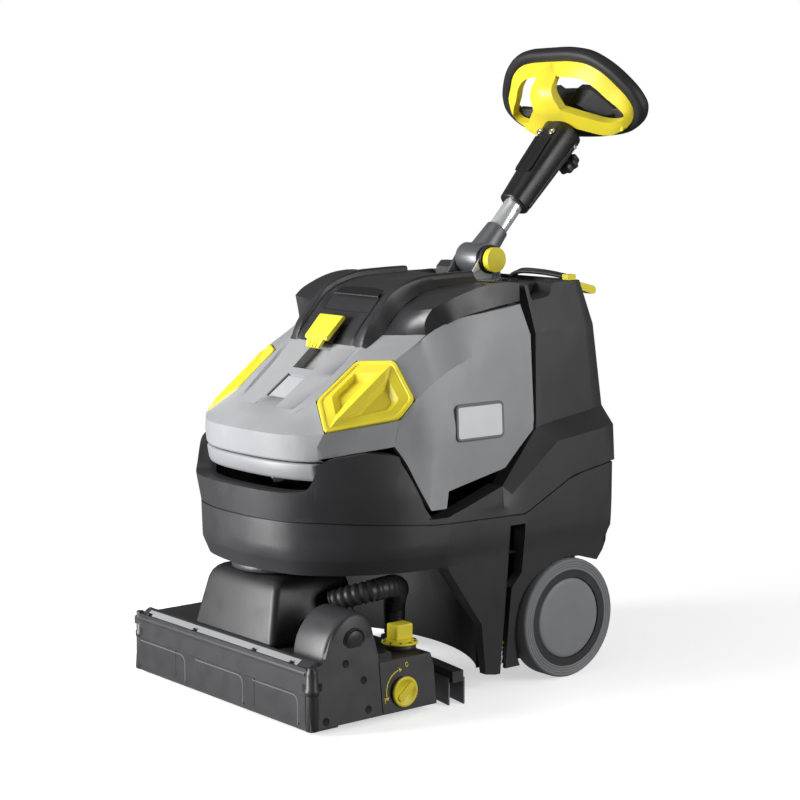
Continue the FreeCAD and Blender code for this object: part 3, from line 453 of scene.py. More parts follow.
def make_upper_casing():
    skin = Skin()
    knots = [(bow_index(0, x, z), z, 0) for x, z in NOSE_EDGE] + [(bow_index(1, y, z), z, 0) for y,
                                                                  z in BAY_EDGE]
    columns = []
    for index, top, _ in spline(knots, 3, (), False):
        index = min(index, len(BOW[0][1]) - 1.0)
        foot = between(SEAM, on_bow(index, 300).y) + SEAM_GAP
        columns.append([on_bow(index, foot + (top - foot) * step / COURSES) for step in range(COURSES + 1)])
    edge = [column[-1] for column in columns]
    for x, y, z in FLANK_EDGE:
        foot = (237 if x > 230 else x, y, between(SEAM, y) + SEAM_GAP)
        columns.append(column_between(foot, (x, y, z)))
    skin.lines(columns)
    inward = Vector((0, -60, 0))
    skin.hem(edge, lambda p: ((inward - Vector((p.x, p.y, 0))).normalized() * 33.0))
    lip = [edge[-1], Vector((237, -60, 316.5)), Vector((237, 5, 338.7)), Vector(FACET_E)]
    skin.hem(lip, lambda p: Vector((-33, 0, 0)))
    skin.hem([Vector(FACET_E), Vector(FACET_P)], lambda p: Vector((-30, 0, -6)))
    skin.face(FACET_E, FACET_P, FACET_B, FACET_C, (237, 92, 373.4), (237, 57, 346.5), FACET_D)
    band = [Vector(p) for p in FLANK_EDGE[6:]]
    skin.lines([band, [Vector(p) for p in COLUMN_BAND]])
    skin.lines([[Vector(p) for p in COLUMN_BAND], [Vector(p) for p in COLUMN_WAIST]], 3)
    skin.face(FACET_P, FACET_B, COLUMN_WAIST[0], (205, 105, 575))
    waist = [(205, 105, 575), (205, 107, 575.2), (205, 109, 575.4), (205, 112, 575.6), (205, 118, 576),
             (205, 140, 577.4),
             (205, 160, 578.6), (205, 172, 579.4), (205, 176, 579.8)]
    crown = [(190.6, 93, 652)] + NOTCH
    rim_low = waist + [(205, 188, 580.5), (205, 216, 582.3), (205, 231, 582.7), (201, 239, 583),
                       (193, 243, 583.3),
                       (0, 243, 583.5)]
    rim_high = crown + COLUMN_TOP
    skin.lines([[Vector(p) for p in rim_low], [Vector(p) for p in rim_high]], 4)
    notch = [Vector(p) for p in NOTCH]
    skin.hem(notch, lambda p: Vector((-NOTCH_DEPTH, 0, 0)))
    skin.hem([Vector(p) for p in COLUMN_TOP], lambda p: Vector((-6 if p.x > 1 else 0, -6
                                                                if p.y > 217 else 0, 0)))
    front = [Vector(FACET_P), Vector((205, 105, 575)), Vector((190.6, 93, 652))]
    skin.lines([front, [Vector((0, p.y, p.z)) for p in front]])
    skin.face((190.5, 98, 654), (190.6, 93, 652), (0, 93, 652), (0, 98, 654))
    skin.face(FACET_P, (205, 108, 400), (0, 108, 400), (0, 108, 420))
    skin.build("upper_casing", "chassis", "black_plastic", both=True, wall=SHELL_WALL, bevel=1.6,
                       replaces=("fresh_water_tank",))
    deck = Skin()
    outline = [(150, 97), (150, 161), (184, 161), (184, 212), (181, 217), (175, 219)]
    ring = [(x, y, 649) for x, y in outline]
    ring += [(-x, y, 649) for x, y in reversed(outline)]
    deck.cap([Vector(p) for p in ring])
    for left, right in zip(ring, ring[1:] + ring[:1]):
        rise = Vector((0, 0, 4.5))
        deck.face(left, right, Vector(right) + rise, Vector(left) + rise)
    for side in (1, -1):
        deck.face((side * 150, 97, 628), (side * 150, 161, 628), (side * 150, 161, 650),
                  (side * 150, 97, 650))
    deck.build("deck", "chassis", "black_plastic", wall=SHELL_WALL, bevel=0.8)


# ---------------------------------------------------------------- lower black casing

SLOT_TOP = 272.0
ARCH = [(82, 173), (99, 187), (127, 198), (152, 202.5), (184, 201), (190, 199), (228, 188), (240, 204),
        (246, 219)]
POST = [(173, 43, 82), (166, 37, 74), (155, 36.4, 65), (135, 36, 55.5), (113, 35.7, 51.5), (92, 35.5, 51),
        (78, 35.4, 52.5),
        (60, 35.2, 56), (44, 35.1, 60.5), (30, 35, 67)]
LEG = [(-108, 219), (-103, 217), (-64, 166), (-24, 114), (-16, 70), (-8, 27), (14, 23), (24, 23)]


# Round recess behind the scrub head, about the head's pivot.
HEAD_PIVOT_Y, RECESS_RADIUS, RECESS_HALF_ANGLE = -262.0, 318.0, 37.4


def flank_x(z):
    """The flank tapers in towards the floor."""
    if z <= 235:
        return 214.0 + 0.0856 * (z - 23.0)
    return between([(235, 232.1), (245, 234.5), (270, 236.6), (305, 237)], z)


def flank_point(y, z):
    return Vector((flank_x(z), y, z))


def make_lower_casing():
    skin = Skin()
    last = len(BOW[0][1]) - 1
    columns = []
    for index in range(last + 1):
        top = between(SEAM, on_bow(index, 300).y) - SEAM_GAP
        levels = [top, 285, 265, 245, 241, 230, 220.5, 219]
        columns.append([on_bow(index, z) for z in levels])
    rim = [column[-1] for column in columns]
    skin.lines(columns)
    skin.hem(rim, lambda p: (Vector((0, -60, 0)) - Vector((p.x, p.y, 0))).normalized() * 22.0)
    flank = []
    leg = [columns[-1][-1]] + [flank_point(y, z) for y, z in LEG[1:]]
    for foot in leg:
        top = between(SEAM, foot.y) - SEAM_GAP
        levels = [top, 285, 265, 245, 241, 230, 220.5]
        line = [flank_point(foot.y, z) for z in levels]
        line.append(Vector(foot))
        flank.append(line)
    flank[0] = columns[-1]
    skin.lines(flank)
    inner = 200.0
    skin.hem([line[-1] for line in flank[1:]], lambda p: Vector((inner - p.x, 0, 0)))
    slot_left = [flank_point(24, z) for z in (23, 120, 219, SLOT_TOP)]
    skin.hem(slot_left, lambda p: Vector((inner - p.x, -8, 0)))
    over_slot = []
    for y in (24, 35, 46, 57):
        top = between(SEAM, y) - SEAM_GAP
        over_slot.append([flank_point(y, top), flank_point(y, 280), flank_point(y, SLOT_TOP)])
    skin.lines(over_slot)
    skin.hem([line[-1] for line in over_slot], lambda p: Vector((inner - p.x, 0, 0)))
    rear = []
    for y, z in [(57, 190), (70, 173)] + ARCH:
        top = between(SEAM, y) - SEAM_GAP
        foot = max(z, 173)
        levels = [top, top - 0.3 * (top - 245), 260, 245, 235, 219]
        if y < 246:
            rear.append([flank_point(y, level) for level in levels] + [flank_point(y, foot)])
        else:
            rear.append([flank_point(y, level) for level in levels] + [flank_point(y, 219)])
    skin.lines(rear)
    corner_levels = [(between(SEAM, 249), 0), (290, 0), (260, 0), (245, 0), (235, -4), (219, -10)]
    ends = []
    for x_in, y_base in ((0, 249), (4, 257), (12, 260), (237, 260)):
        ends.append([Vector((max(0.0, flank_x(z) - x_in), y_base + shift, z - (SEAM_GAP if z > 300 else 0)))
                     for z, shift in corner_levels])
    rear_corner = [line[:] for line in ends]
    skin.lines([rear[-1][:6]] + rear_corner)
    skin.hem([rear[-1][5]] + [line[-1] for line in rear_corner],
             lambda p: Vector((-18 if p.x > 1 else 0, -18, 0)))
    skin.face(flank_point(57, 190), flank_point(57, 173), flank_point(43, 173))
    skin.face(flank_point(57, 173), flank_point(57, 190), flank_point(70, 173))
    post = [[flank_point(left, z), flank_point(right, z)] for z, left, right in POST]
    skin.lines(post)
    slot_right = [flank_point(57, SLOT_TOP), flank_point(57, 190), flank_point(43, 173)]
    slot_right += [flank_point(left, z) for z, left, right in POST[1:]]
    skin.hem(slot_right, lambda p: Vector((inner + 8 - p.x, 0, 0)))
    arch = [flank_point(right, z) for z, left, right in reversed(POST)] + [flank_point(y, z) for y,
                                                                           z in ARCH[1:]]
    skin.hem(arch, lambda p: Vector((inner - 6 - p.x, 0, 0)))
    skin.hem([post[-1][0], post[-1][1]], lambda p: Vector((inner + 8 - p.x, 0, 0)))
    skin.build("lower_casing", "chassis", "black_plastic", both=True, wall=SHELL_WALL, bevel=1.5,
                       replaces=("lower_shell",))
    # the box between the wheels, with the round recess for the scrub head; its near-black colour is painted
    # shade
    bulk = Skin()
    arc = []
    for step in range(13):
        angle = math.radians(RECESS_HALF_ANGLE * (1 - step / 12.0))
        arc.append((RECESS_RADIUS * math.sin(angle), HEAD_PIVOT_Y + RECESS_RADIUS * math.cos(angle)))
    top = [Vector((x, y, 219)) for x, y in arc]
    low = [Vector((x, y, 34)) for x, y in arc]
    bulk.lines([top, low], 3)
    side = [(arc[0][1], 34), (165, 34), (205, 90), (212, 190), (234, 190), (240, 220)]
    points = [Vector((193, y, z)) for y, z in side]
    bulk.cap([Vector((193, arc[0][1], 219))] + points)
    bulk.lines([points[1:], [Vector((0, p.y, p.z)) for p in points[1:]]])
    bulk.cap(low + [Vector((0, 165, 34)), Vector((193, 165, 34))])
    bulk.build("between_wheels", "chassis", "black_plastic", both=True, wall=SHELL_WALL, bevel=1.2,
               material=SHADES["inside"])
    # ceiling under the body, near-black as painted shade
    ceiling = Skin()
    outline = [on_bow(index, 222) for index in range(0, last + 1, 2)]
    outline += [Vector((226, 250, 222)), Vector((0, 250, 222))]
    ceiling.cap([Vector((p.x * 0.97, p.y * 0.985 if p.y < 0 else p.y - 4, 222)) for p in outline])
    ceiling.build("belly_plate", "chassis", "black_plastic", both=True, wall=SHELL_WALL, bevel=0.0,
                  material=SHADES["inside"])
    # near-black sheets at the back of the flank slots: painted shade
    for side in (1, -1):
        lining = Skin()
        for y_low, y_high, z_low, z_high in ((8, 66, 190, 278), (8, 50, 34, 200)):
            lining.face((side * 198, y_low, z_low), (side * 198, y_high, z_low),
                        (side * 198, y_high, z_high),
                        (side * 198, y_low, z_high))
        lining.build("slot_lining_%s" % ("left" if side > 0 else "right"), "chassis", "black_plastic",
                     wall=3.0,
                     bevel=0.5, material=SHADES["inside"])


# ---------------------------------------------------------------- grey recovery tank

HEX = [(160, -294, 442), (205, -180, 458), (212, -154, 488), (165, -157, 547), (107, -189, 543),
       (105, -268, 485)]
HEX_OUT = Vector((0.70, -0.42, 0.58)).normalized()
LIP = [(0, 0), (45, 1.5), (84, 7), (118, 18), (136, 27), (143, 31.5), (146, 37), (146, 60)]
NOSE = [(0, -336, 398), (45, -334.5, 398), (84, -329, 398), (120, -317, 398), (138, -308, 399),
        (147, -302.5, 400),
        (152, -299, 401)]
CREASE = [(0, -341, 438), (45, -339.5, 438), (84, -334, 438), (120, -321, 438), (138, -310, 438.5),
          (150, -301, 440),
          (160, -294, 442)]
HOOD = [(0, -305, 463), (40, -303.5, 463), (79, -298, 463), (88, -288, 470), (96, -278, 477.5),
        (101, -272.5, 481.5),
        (105, -268, 485)]
PANEL_EDGE = [(79, -298, 463), (82, -266, 488), (88, -229, 516), (92, -191, 545), (95, -168, 562),
              (96, -150, 576)]
HOOD_OUTER = [(105, -268, 485), (105.5, -248, 500), (106, -222, 520), (107, -189, 543), (106, -152, 567),
              (105, -128, 584)]
SHOULDER = [(165, -157, 547), (166, -125, 564), (166, -96, 582)]
FLANK_LOW = [(207, -192, 418), (215, -176, 392), (222, -158, 355), (229, -136, 314), (229, -105, 314),
             (229, -101, 341),
             (229, -40, 354), (229, 13, 365), (229, 19, 367), (229, 50, 397), (229, 78.5, 423)]
FLANK_MIDDLE = [(206.5, -187, 438), (212, -169, 440), (220, -150, 440), (226, -128, 440), (229, -105, 440),
                (229.4, -98, 440), (230, -40, 440), (230, 13, 440), (230, 22, 440), (229.5, 52, 440),
                (229, 80, 440)]
ARC = [(205, -180, 458), (212, -154, 488), (213.4, -138, 500), (214.2, -118, 514), (215, -99, 525),
       (215.4, -94, 527.5),
       (217, -33, 551), (216, 18, 564), (215.8, 24, 565), (215, 54, 570), (214, 85, 575)]
TOP_EDGE = [(165, -157, 547), (165.6, -132, 560), (166, -107, 573), (171, -98, 582), (192, -50, 607),
            (203, 0, 615),
            (203.4, 6, 616), (204.5, 40, 620), (205, 70, 624)]
ARC_UPPER = ARC[1:5] + ARC[6:11]
FACET_TOP = [(160, -294, 442), (172, -264, 446), (184, -234, 450), (196, -204, 454), (205, -180, 458)]
FACET_LOW = [(152, -299, 402), (168, -274, 406), (184, -248, 411), (198, -219, 415), (207, -192, 418)]
FLOOR_ROWS = [(-289, 470.5, 73), (-270, 482, 77), (-225, 514.5, 82.5), (-214, 523, 84), (-176, 555, 88),
              (-160, 568, 90)]
BADGE_HALF = 24.5
POCKET_HALF = 27.0


def vectors(points):
    return [Vector(p) for p in points]


def make_grey_tank():
    lip = Skin()
    profile = [(366, 4), (367.5, 0.8), (372, -1.5), (390, -5), (393, -4), (394, -1), (394.5, 9)]
    lip.rows([[(x, -330 + set_back + shift, z) for x, set_back in LIP] for z, shift in profile], 4, (), 1)
    # the lip takes a darker copy of the grey plastic: painted shade
    lip.build("tank_lip", "chassis", "grey_plastic", both=True, wall=SHELL_WALL, bevel=0.0,
              material=SHADES["lip"])
    tank = Skin()
    tank.rows([[(x * 0.985, y + 12, 396) for x, y, z in NOSE], [(x, y + 2, z - 1.5) for x, y, z in NOSE],
               [(x, y, z + 1) for x, y, z in NOSE], [(x, y - 2.6, z + 20) for x, y, z in NOSE], CREASE], 4)
    tank.rows([CREASE, HOOD], 4, (2,), 3)
    edge = spline(PANEL_EDGE, 5, (), False)
    outer = spline(HOOD_OUTER, 5, (3,), False)
    tank.lines([edge, outer], 2)
    tank.rows([HOOD_OUTER[3:], SHOULDER], 4, (), 3, False)
    facet_rows = [spline(row, 3, (), False) for row in (FACET_LOW, FACET_TOP)]
    facet_waist = [a.lerp(b, 0.48) for a, b in zip(*facet_rows)]
    facet_waist[0] = Vector((152, -301.6, 421))
    tank.lines([facet_rows[0], facet_waist, facet_rows[1]])
    low_edge = spline(FLANK_LOW, 4, (3, 4, 5, 7, 8), False)
    tank.lines([low_edge, spline(FLANK_MIDDLE, 4, (), False)], 4)
    tank.lines([spline(FLANK_MIDDLE, 4, (), False), spline(ARC, 4, (1,), False)], 4)
    tank.lines([spline(ARC_UPPER, 4, (), False), spline(TOP_EDGE, 4, (2,), False)], 2)
    tank.hem(low_edge, lambda p: Vector((-18, 2, 4)))
    facet_edge = spline(FACET_LOW, 3, (), False)
    tank.hem(facet_edge, lambda p: Vector((-9, 9, 0)))
    tank.face((205, 70, 624), (214, 85, 575), (0, 85, 575), (0, 70, 624))
    tank.face((214, 85, 575), (229, 80, 440), (0, 80, 440), (0, 85, 575))
    tank.face((229, 80, 440), (229, 78.5, 423), (0, 78.5, 423), (0, 80, 440))
    # recessed middle panel of the hood, with the badge field and the latch pocket
    sunk = []
    for (x, y, z), (floor_y, floor_z, half) in zip(PANEL_EDGE, FLOOR_ROWS):
        sunk.append(Vector((half, floor_y, floor_z)))
    floor_side = spline(sunk, 5, (), False)
    tank.lines([edge, floor_side])
    bottom_high = spline(HOOD[:3], 4)
    ramp = spline([(0, -291, 469.5), (38, -290.5, 469.8), (73, -289, 470.5)], 4)
    tank.lines([bottom_high, ramp])
    for (y0, z0, half0), (y1, z1, half1) in zip(FLOOR_ROWS, FLOOR_ROWS[1:]):
        tank.face((POCKET_HALF, y0, z0), (half0, y0, z0), (half1, y1, z1), (POCKET_HALF, y1, z1))
    (y0, z0, _), (y1, z1, _), (y2, z2, _), (y3, z3, _), (y4, z4, _), (y5, z5, _) = FLOOR_ROWS
    tank.face((0, y0 - 2, z0 - 1), (38, y0 - 1.5, z0 - 0.7), (73, y0, z0), (POCKET_HALF, y0 + 1, z0),
              (0, y0, z0))
    tank.face((0, y0, z0), (POCKET_HALF, y0 + 1, z0), (POCKET_HALF, y1, z1), (0, y1, z1))
    tank.face((BADGE_HALF, y1, z1), (POCKET_HALF, y1, z1), (POCKET_HALF, y2, z2), (BADGE_HALF, y2, z2))
    tank.face((0, y2, z2), (POCKET_HALF, y2, z2), (POCKET_HALF, y3, z3), (0, y3, z3))
    tank.face((0, y4, z4), (POCKET_HALF, y4, z4), (POCKET_HALF, y5, z5), (0, y5, z5))
    sink = Vector((0, 2.4, -3.6))
    badge = vectors([(0, y1, z1), (BADGE_HALF, y1, z1), (BADGE_HALF, y2, z2), (0, y2, z2)])
    tank.hem(badge, lambda p: sink)
    tank.cap([p + sink for p in badge])
    deep = Vector((0, 16, -8))
    pocket = vectors([(0, y3, z3), (POCKET_HALF, y3, z3), (POCKET_HALF, y4, z4), (0, y4, z4)])
    tank.hem(pocket, lambda p: deep)
    tank.cap([p + deep for p in pocket])
    tank.hem(vectors([(0, y5, z5), (90, y5, z5)])
             + vectors([(96, -150, 576), (105, -128, 584), (166, -96, 582)]),
             lambda p: Vector((0, 12, -2)))
    # seat of the filler cap
    ring = vectors(HEX)
    well = [p - HEX_OUT * 20.0 + (sum(ring, Vector()) / 6 - p) * 0.12 for p in ring]
    tank.lines([ring, well], 1, True)
    tank.cap(well)
    # mouth of the tank under the lid
    outer_rim = vectors([(0, -146, 578), (96, -146, 578), (105, -128, 584), (166, -96, 582),
                         (192, -50, 607), (203, 0, 615),
                         (205, 70, 624), (0, 70, 624)])
    mouth = vectors([(0, -110, 592), (88, -110, 592), (96, -104, 594), (126, -68, 600), (150, -40, 606),
                     (157, 20, 616),
                     (158, 56, 622), (0, 56, 622)])
    tank.lines([outer_rim, mouth])
    tank.lines([mouth, [Vector((p.x, p.y, 470)) for p in mouth]])
    tank.cap([Vector((p.x, p.y, 470)) for p in mouth])
    tank.build("grey_tank", "chassis", "grey_plastic", both=True, wall=1.6, bevel=1.6, segments=3,
                      replaces=("recovery_tank",))


def make_hexagonal_cap(side):
    """Cap on the tank's shoulder: a rim, a raised diagonal ridge and a sunk field on each side of it."""
    cap = Skin()
    ring = vectors(HEX)
    middle = sum(ring, Vector()) / 6
    gap = [p + (middle - p).normalized() * 1.6 for p in ring]
    rounded = []
    for index, corner in enumerate(gap):
        before, after = gap[index - 1], gap[(index + 1) % 6]
        for arm in (before, after):
            rounded.append(corner + (arm - corner).normalized() * 7.0)
    order = []
    for index in range(6):
        start, end = rounded[2 * index], rounded[2 * index + 1]
        bend = start.lerp(end, 0.5).lerp(gap[index], 0.4)
        order += [start, bend, end]

    def raised(points, inset, height):
        return [p + (middle - p).normalized() * inset + HEX_OUT * height for p in points]

    courses = [raised(order, 0.0, -18.0), raised(order, 0.0, 2.0), raised(order, 1.5, 3.6),
               raised(order, 6.5, 3.6),
               raised(order, 8.0, 2.2)]
    cap.lines(courses, 1, True)
    inner = courses[-1]
    h1, h4 = inner[1], inner[10]
    ridge_low = h1.lerp(h4, 0.10) + HEX_OUT * 5.0
    ridge_high = h1.lerp(h4, 0.92) + HEX_OUT * 4.0
    light = inner[10:18] + inner[0:2]
    deep = inner[1:11]

    def sunk(edge, ridge, share, depth):
        loop = edge + ridge
        centre = sum(loop, Vector()) / len(loop)
        lip = [p.lerp(centre, share) for p in loop]
        cap.lines([loop, lip], 1, True)
        floor = [p.lerp(centre, 0.38) - HEX_OUT * depth for p in lip]
        cap.lines([lip, floor], 1, True)
        cap.cap(floor)

    sunk(light, [ridge_low, ridge_high], 0.34, 11.0)
    sunk(deep, [ridge_high, ridge_low], 0.38, 8.0)
    word = "left" if side > 0 else "right"
    cap.build("shoulder_cap_" + word, "cap_" + word, "yellow_plastic", flip=side < 0, wall=0.0, bevel=0.8,
              replaces=("filler_cap_" + word,))


# ---------------------------------------------------------------- lid

WING_INNER = [(105, -135, 580), (105, -117, 599), (105, -99, 618), (105, -70, 634), (105, -44, 646),
              (105, 0, 652),
              (105, 45, 655), (105, 68, 655)]
WING_OUTER = [(166, -97, 585), (168, -99, 604), (180, -95, 624), (188, -76, 634), (194, -50, 644),
              (200, -5, 657),
              (204, 48, 661), (205, 68, 659)]
WING_FOOT = [(166, -95.5, 583.4), (169, -92, 585), (181, -74, 594), (187, -66, 600), (194, -45, 609),
             (203, -5, 619),
             (206, 44, 627), (206, 68, 630)]
BLOCK_BASE = [(105, -168, 556), (105, -158, 562), (105, -146, 571), (105, -135, 580), (105, -99, 618),
              (105, -44, 646),
              (105, 10, 653), (105, 68, 655)]
BLOCK_EDGE = [(95, -169, 559), (95, -162, 574), (95, -152, 588), (95, -131, 611), (95, -105, 638),
              (95, -60, 656),
              (95, 18, 663), (95, 68, 664)]
# Cross-section of the raised middle from its edge to the middle plane: half width, height above the edge.
BLOCK_SECTION = [(95, 0.0), (93.5, 5.5), (90, 8.5), (80, 8.5), (77.5, 6.0), (76, -1.0), (70, -2.5),
                 (68, -2.5), (66, 0.5), (60, 0.5),
                 (30, 0.0), (0, -0.5)]


def make_lid():
    lid = Skin()
    inner, outer = spline(WING_INNER, 4, (), False), spline(WING_OUTER, 4, (2,), False)
    crown = [a.lerp(b, 0.5) + Vector((0, 0, -1.5)) for a, b in zip(inner, outer)]
    lid.lines([inner, crown, outer], 3)
    foot = spline(WING_FOOT, 4, (), False)
    lid.lines([outer, foot], 3)
    base, edge = spline(BLOCK_BASE, 4, (3,), False), spline(BLOCK_EDGE, 4, (0,), False)
    lid.lines([base, edge], 2)
    ribs = []
    for x, rise in BLOCK_SECTION:
        line = []
        for index, point in enumerate(edge):
            share = min(1.0, (index + 3) / 10.0)
            dip = 0.0
            if x <= 60 and -128 < point.y < -84:
                dip = 7.0 if point.y < -95 else 2.0
            line.append(Vector((x, point.y, point.z + rise * share - dip)))
        ribs.append(line)
    lid.lines(ribs)
    front_high = [line[0] for line in ribs]
    front_low = [Vector((p.x, -168, 556)) for p in front_high]
    front_low[0] = Vector(BLOCK_BASE[0])
    lid.lines([front_high, front_low], 2)
    lid.face(WING_INNER[0], WING_OUTER[0], WING_FOOT[0], (105, -133, 578.5))
    rear = [Vector((0, 68, 661.5)), Vector((95, 68, 664)), Vector((105, 68, 655)), Vector((205, 68, 659)),
            Vector((206, 68, 630)), Vector((0, 68, 630))]
    lid.cap(rear)
    lid.hem(foot, lambda p: Vector((-12, 0, 0)))
    lid.build("lid_shell", "lid", "lid_plastic", both=True, wall=2.0, bevel=1.6, segments=3,
                     replaces=("tank_lid",))


# ---------------------------------------------------------------- turned, swept and plate pieces

def circle(centre, axis, radius, along, steps):
    across = axis.orthogonal().normalized()
    side = axis.cross(across)
    ring = []
    for step in range(steps):
        angle = 2 * math.pi * step / steps
        ring.append(centre + axis * along + across * (radius * math.cos(angle)) + side
                    * (radius * math.sin(angle)))
    return ring


def turned(name, body, slot, centre, axis, profile, closed=False, steps=72, **looks):
    """A lathe piece from (radius, along) pairs; a closed profile makes a ring."""
    skin = Skin()
    axis = Vector(axis).normalized()
    rings = [circle(Vector(centre), axis, max(radius, 0.001), along, steps) for radius, along in profile]
    if closed:
        rings.append(rings[0])
    skin.lines(rings, 1, True)
    if not closed:
        for ring in (rings[0], rings[-1]):
            skin.cap(ring)
    looks.setdefault("bevel", 0.0)
    looks.setdefault("merge", 0.005)
    return skin.build(name, body, slot, **looks)


def prism(name, body, slot, outline, depth, **looks):
    """A plate: an outline of stations pushed along a vector."""
    skin = Skin()
    low = vectors(outline)
    high = [p + Vector(depth) for p in low]
    skin.cap(low)
    skin.cap(high)
    skin.lines([low, high], 1, True)
    return skin.build(name, body, slot, **looks)


def swept(name, body, slot, path, section, up, **looks):
    """A closed section of (side, up) offsets carried round a closed path."""
    skin = Skin()
    rings = []
    count = len(path)
    for index in range(count):
        ahead = (path[(index + 1) % count] - path[index - 1]).normalized()
        side = ahead.cross(up).normalized()
        rings.append([path[index] + side * a + up * b for a, b in section])
    rings.append(rings[0])
    skin.lines(rings, 1, True)
    return skin.build(name, body, slot, **looks)


def superellipse(half_wide, half_high, power, steps):
    section = []
    for step in range(steps):
        angle = 2 * math.pi * step / steps
        c, s = math.cos(angle), math.sin(angle)
        wide = half_wide * math.copysign(abs(c) ** (2.0 / power), c)
        high = half_high * math.copysign(abs(s) ** (2.0 / power), s)
        section.append((wide, high))
    return section


# ---------------------------------------------------------------- wheels

AXLE = Vector((0, AXLE_STATION_Y, 100))
TYRE_INNER_X = 197.0
TYRE_PROFILE = [(81, 0), (94, 0), (98.2, 1.2), (99.6, 3.5), (100, 6), (100, 34), (99.5, 37), (98, 39),
                (95.8, 40),
                (94.4, 40), (93.9, 39.1), (93.1, 39.1), (92.6, 40), (90.2, 40), (89.7, 39.1), (88.9, 39.1),
                (88.4, 40),
                (86, 40), (85.5, 39.1), (84.7, 39.1), (84.2, 40), (82, 40), (81, 39.4)]
CAP_PROFILE = [(0, 39.4), (20, 39.5), (58, 39.4), (63, 38.9), (65.6, 38.0), (66.8, 36.6), (67, 35.2),
               (60, 35.2)]


def make_wheels():
    for side, word in ((1, "left"), (-1, "right")):
        inner = AXLE + Vector((side * TYRE_INNER_X, 0, 0))
        turned("tyre_ring_" + word, "wheel_" + word, "tyre_rubber", inner, (side, 0, 0), TYRE_PROFILE,
               closed=True,
               steps=96, replaces=("tyre_" + word,))
        turned("cap_disc_" + word, "wheel_" + word, "cap_plastic", inner, (side, 0, 0), CAP_PROFILE,
               steps=96, replaces=("hub_cap_" + word,))


# ---------------------------------------------------------------- cords

SUCTION_ROUTE = [(70, -80, 76), (78, -88, 128), (132, -128, 176), (158, -196, 184), (112, -246, 165)]
DRAIN_ROUTE = [(204, 37, 257), (204, 37, 214), (204, 36.6, 166), (204.2, 35, 118), (204.5, 33, 74)]
CABLE_ROUTES = (
    [(58, 192, 656), (64, 194, 669), (112, 197, 669), (150, 202, 666), (173.5, 206, 662)],
    [(58, 183, 656), (66, 185, 666), (114, 188, 667), (150, 192, 665), (173.5, 197, 661.5)],
)


def cord_curve(name, body, slot, route, radius):
    data = bpy.data.curves.new(name, "CURVE")
    data.dimensions = "3D"
    line = data.splines.new("NURBS")
    line.points.add(len(route) - 1)
    for point, station in zip(line.points, route):
        point.co = (*at(*station), 1.0)
    line.order_u = 3
    line.use_endpoint_u = True
    line.resolution_u = 16
    data.bevel_depth = radius / 1000.0
    data.bevel_resolution = 8
    data.use_fill_caps = True
    data.materials.append(MATERIALS[slot])
    obj = bpy.data.objects.new(name, data)
    bpy.context.scene.collection.objects.link(obj)
    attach(obj, body)
    return obj


def make_cords():
    hose = cord_curve("drain_line", "chassis", "clear_hose", DRAIN_ROUTE, 4.5)
    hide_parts("drain_hose")
    axis = (Vector(DRAIN_ROUTE[-1]) - Vector(DRAIN_ROUTE[-2])).normalized()
    foot = Vector(DRAIN_ROUTE[-1])
    ring = turned("drain_clamp", "chassis", "yellow_plastic", foot, axis,
                  [(4.9, -1), (5.4, -0.4), (5.4, 3.6), (4.9, 4.2), (3, 4.2)], steps=40,
                  replaces=("drain_hose_ring",))
    barbs = [(3.4, 4.2), (3.4, 8), (5.2, 8.4), (3.7, 14), (5.2, 16.2), (3.7, 22), (5.2, 24.2), (3.7, 30),
             (3.6, 36),
             (2.8, 37.6), (0, 37.8)]
    plug = turned("drain_stopper", "chassis", "white_plastic", foot, axis, barbs, steps=40,
                  replaces=("drain_plug",))
    for index, (route, length) in enumerate(zip(CABLE_ROUTES, (0.124, 0.121))):
        cable = cord_curve("handle_cable_%d" % index, "chassis", "rubber_black", route, 3.5)
        if index == 0:
            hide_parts("handle_cables")
    suction = Skin()
    path = spline(SUCTION_ROUTE, 26, (), False)
    rings = []
    for index, point in enumerate(path):
        ahead = (path[min(index + 1, len(path) - 1)] - path[max(index - 1, 0)]).normalized()
        radius = 18.0 if index % 4 in (0, 1) else 16.0
        rings.append(circle(point, ahead, radius, 0.0, 36))
    for before, ring_points in zip(rings, rings[1:]):
        offset = min(range(36), key=lambda k: (ring_points[k] - before[0]).length)
        ring_points[:] = ring_points[offset:] + ring_points[:offset]
    suction.lines(rings, 1, True)
    suction.cap(rings[0])
    suction.cap(rings[-1])
    suction.build("ribbed_hose", "head", "black_plastic", bevel=0.0, replaces=("suction_hose",))


# ---------------------------------------------------------------- steering wheel

RIM_TILT = math.radians(30.0)
RIM_MIDDLE = Vector((0, 381, 953))
WHEEL_SPREAD = 1.035
WHEEL_UP = Vector((0, -math.sin(RIM_TILT), math.cos(RIM_TILT)))
WHEEL_OUT = Vector((0, math.cos(RIM_TILT), math.sin(RIM_TILT)))
# Half of the rim's centre line, from its crown to its foot.
RIM_LINE = [(0, 92), (48, 91), (84, 83), (112, 65), (138, 36), (153, 9), (156, -9), (147, -26), (122, -43),
            (60, -55),
            (0, -57)]
# The bowl in front of the rim, as (across, up, out): edge along the rim and the column, edge of the
# window, middle.
BOWL_EDGE = [(0, 82, -8), (45, 81, -8), (82, 74, -8), (107, 57, -9), (127, 32, -9), (143, 8, -10),
             (146, -9, -10),
             (139, -27, -12), (118, -44, -16), (90, -50, -27), (50, -33, -41), (19, -20, -47)]
WINDOW_EDGE = [(21, 68, -31), (45, 65, -29), (72, 57, -24), (91, 43, -23), (112, 17, -22), (130, -4, -21),
               (135, -14, -21),
               (127, -26, -22), (115, -29, -24), (102, -29, -27), (66, -8, -44), (31, 17, -60)]
SPOKE_MIDDLE = [(0, 82, -8), (0, 72, -34), (0, 54, -63), (0, 18, -66), (0, -17, -50)]
SPOKE_SIDE = (24, 50, -58)
HUB_BACK = [(0, 20), (18, 20), (26, 27), (58, 25), (68, 18), (104, -22), (92, -38), (50, -42), (0, -42)]
LEVER = [(50, 0), (100, -6), (116, 2), (112, 12), (50, 14)]


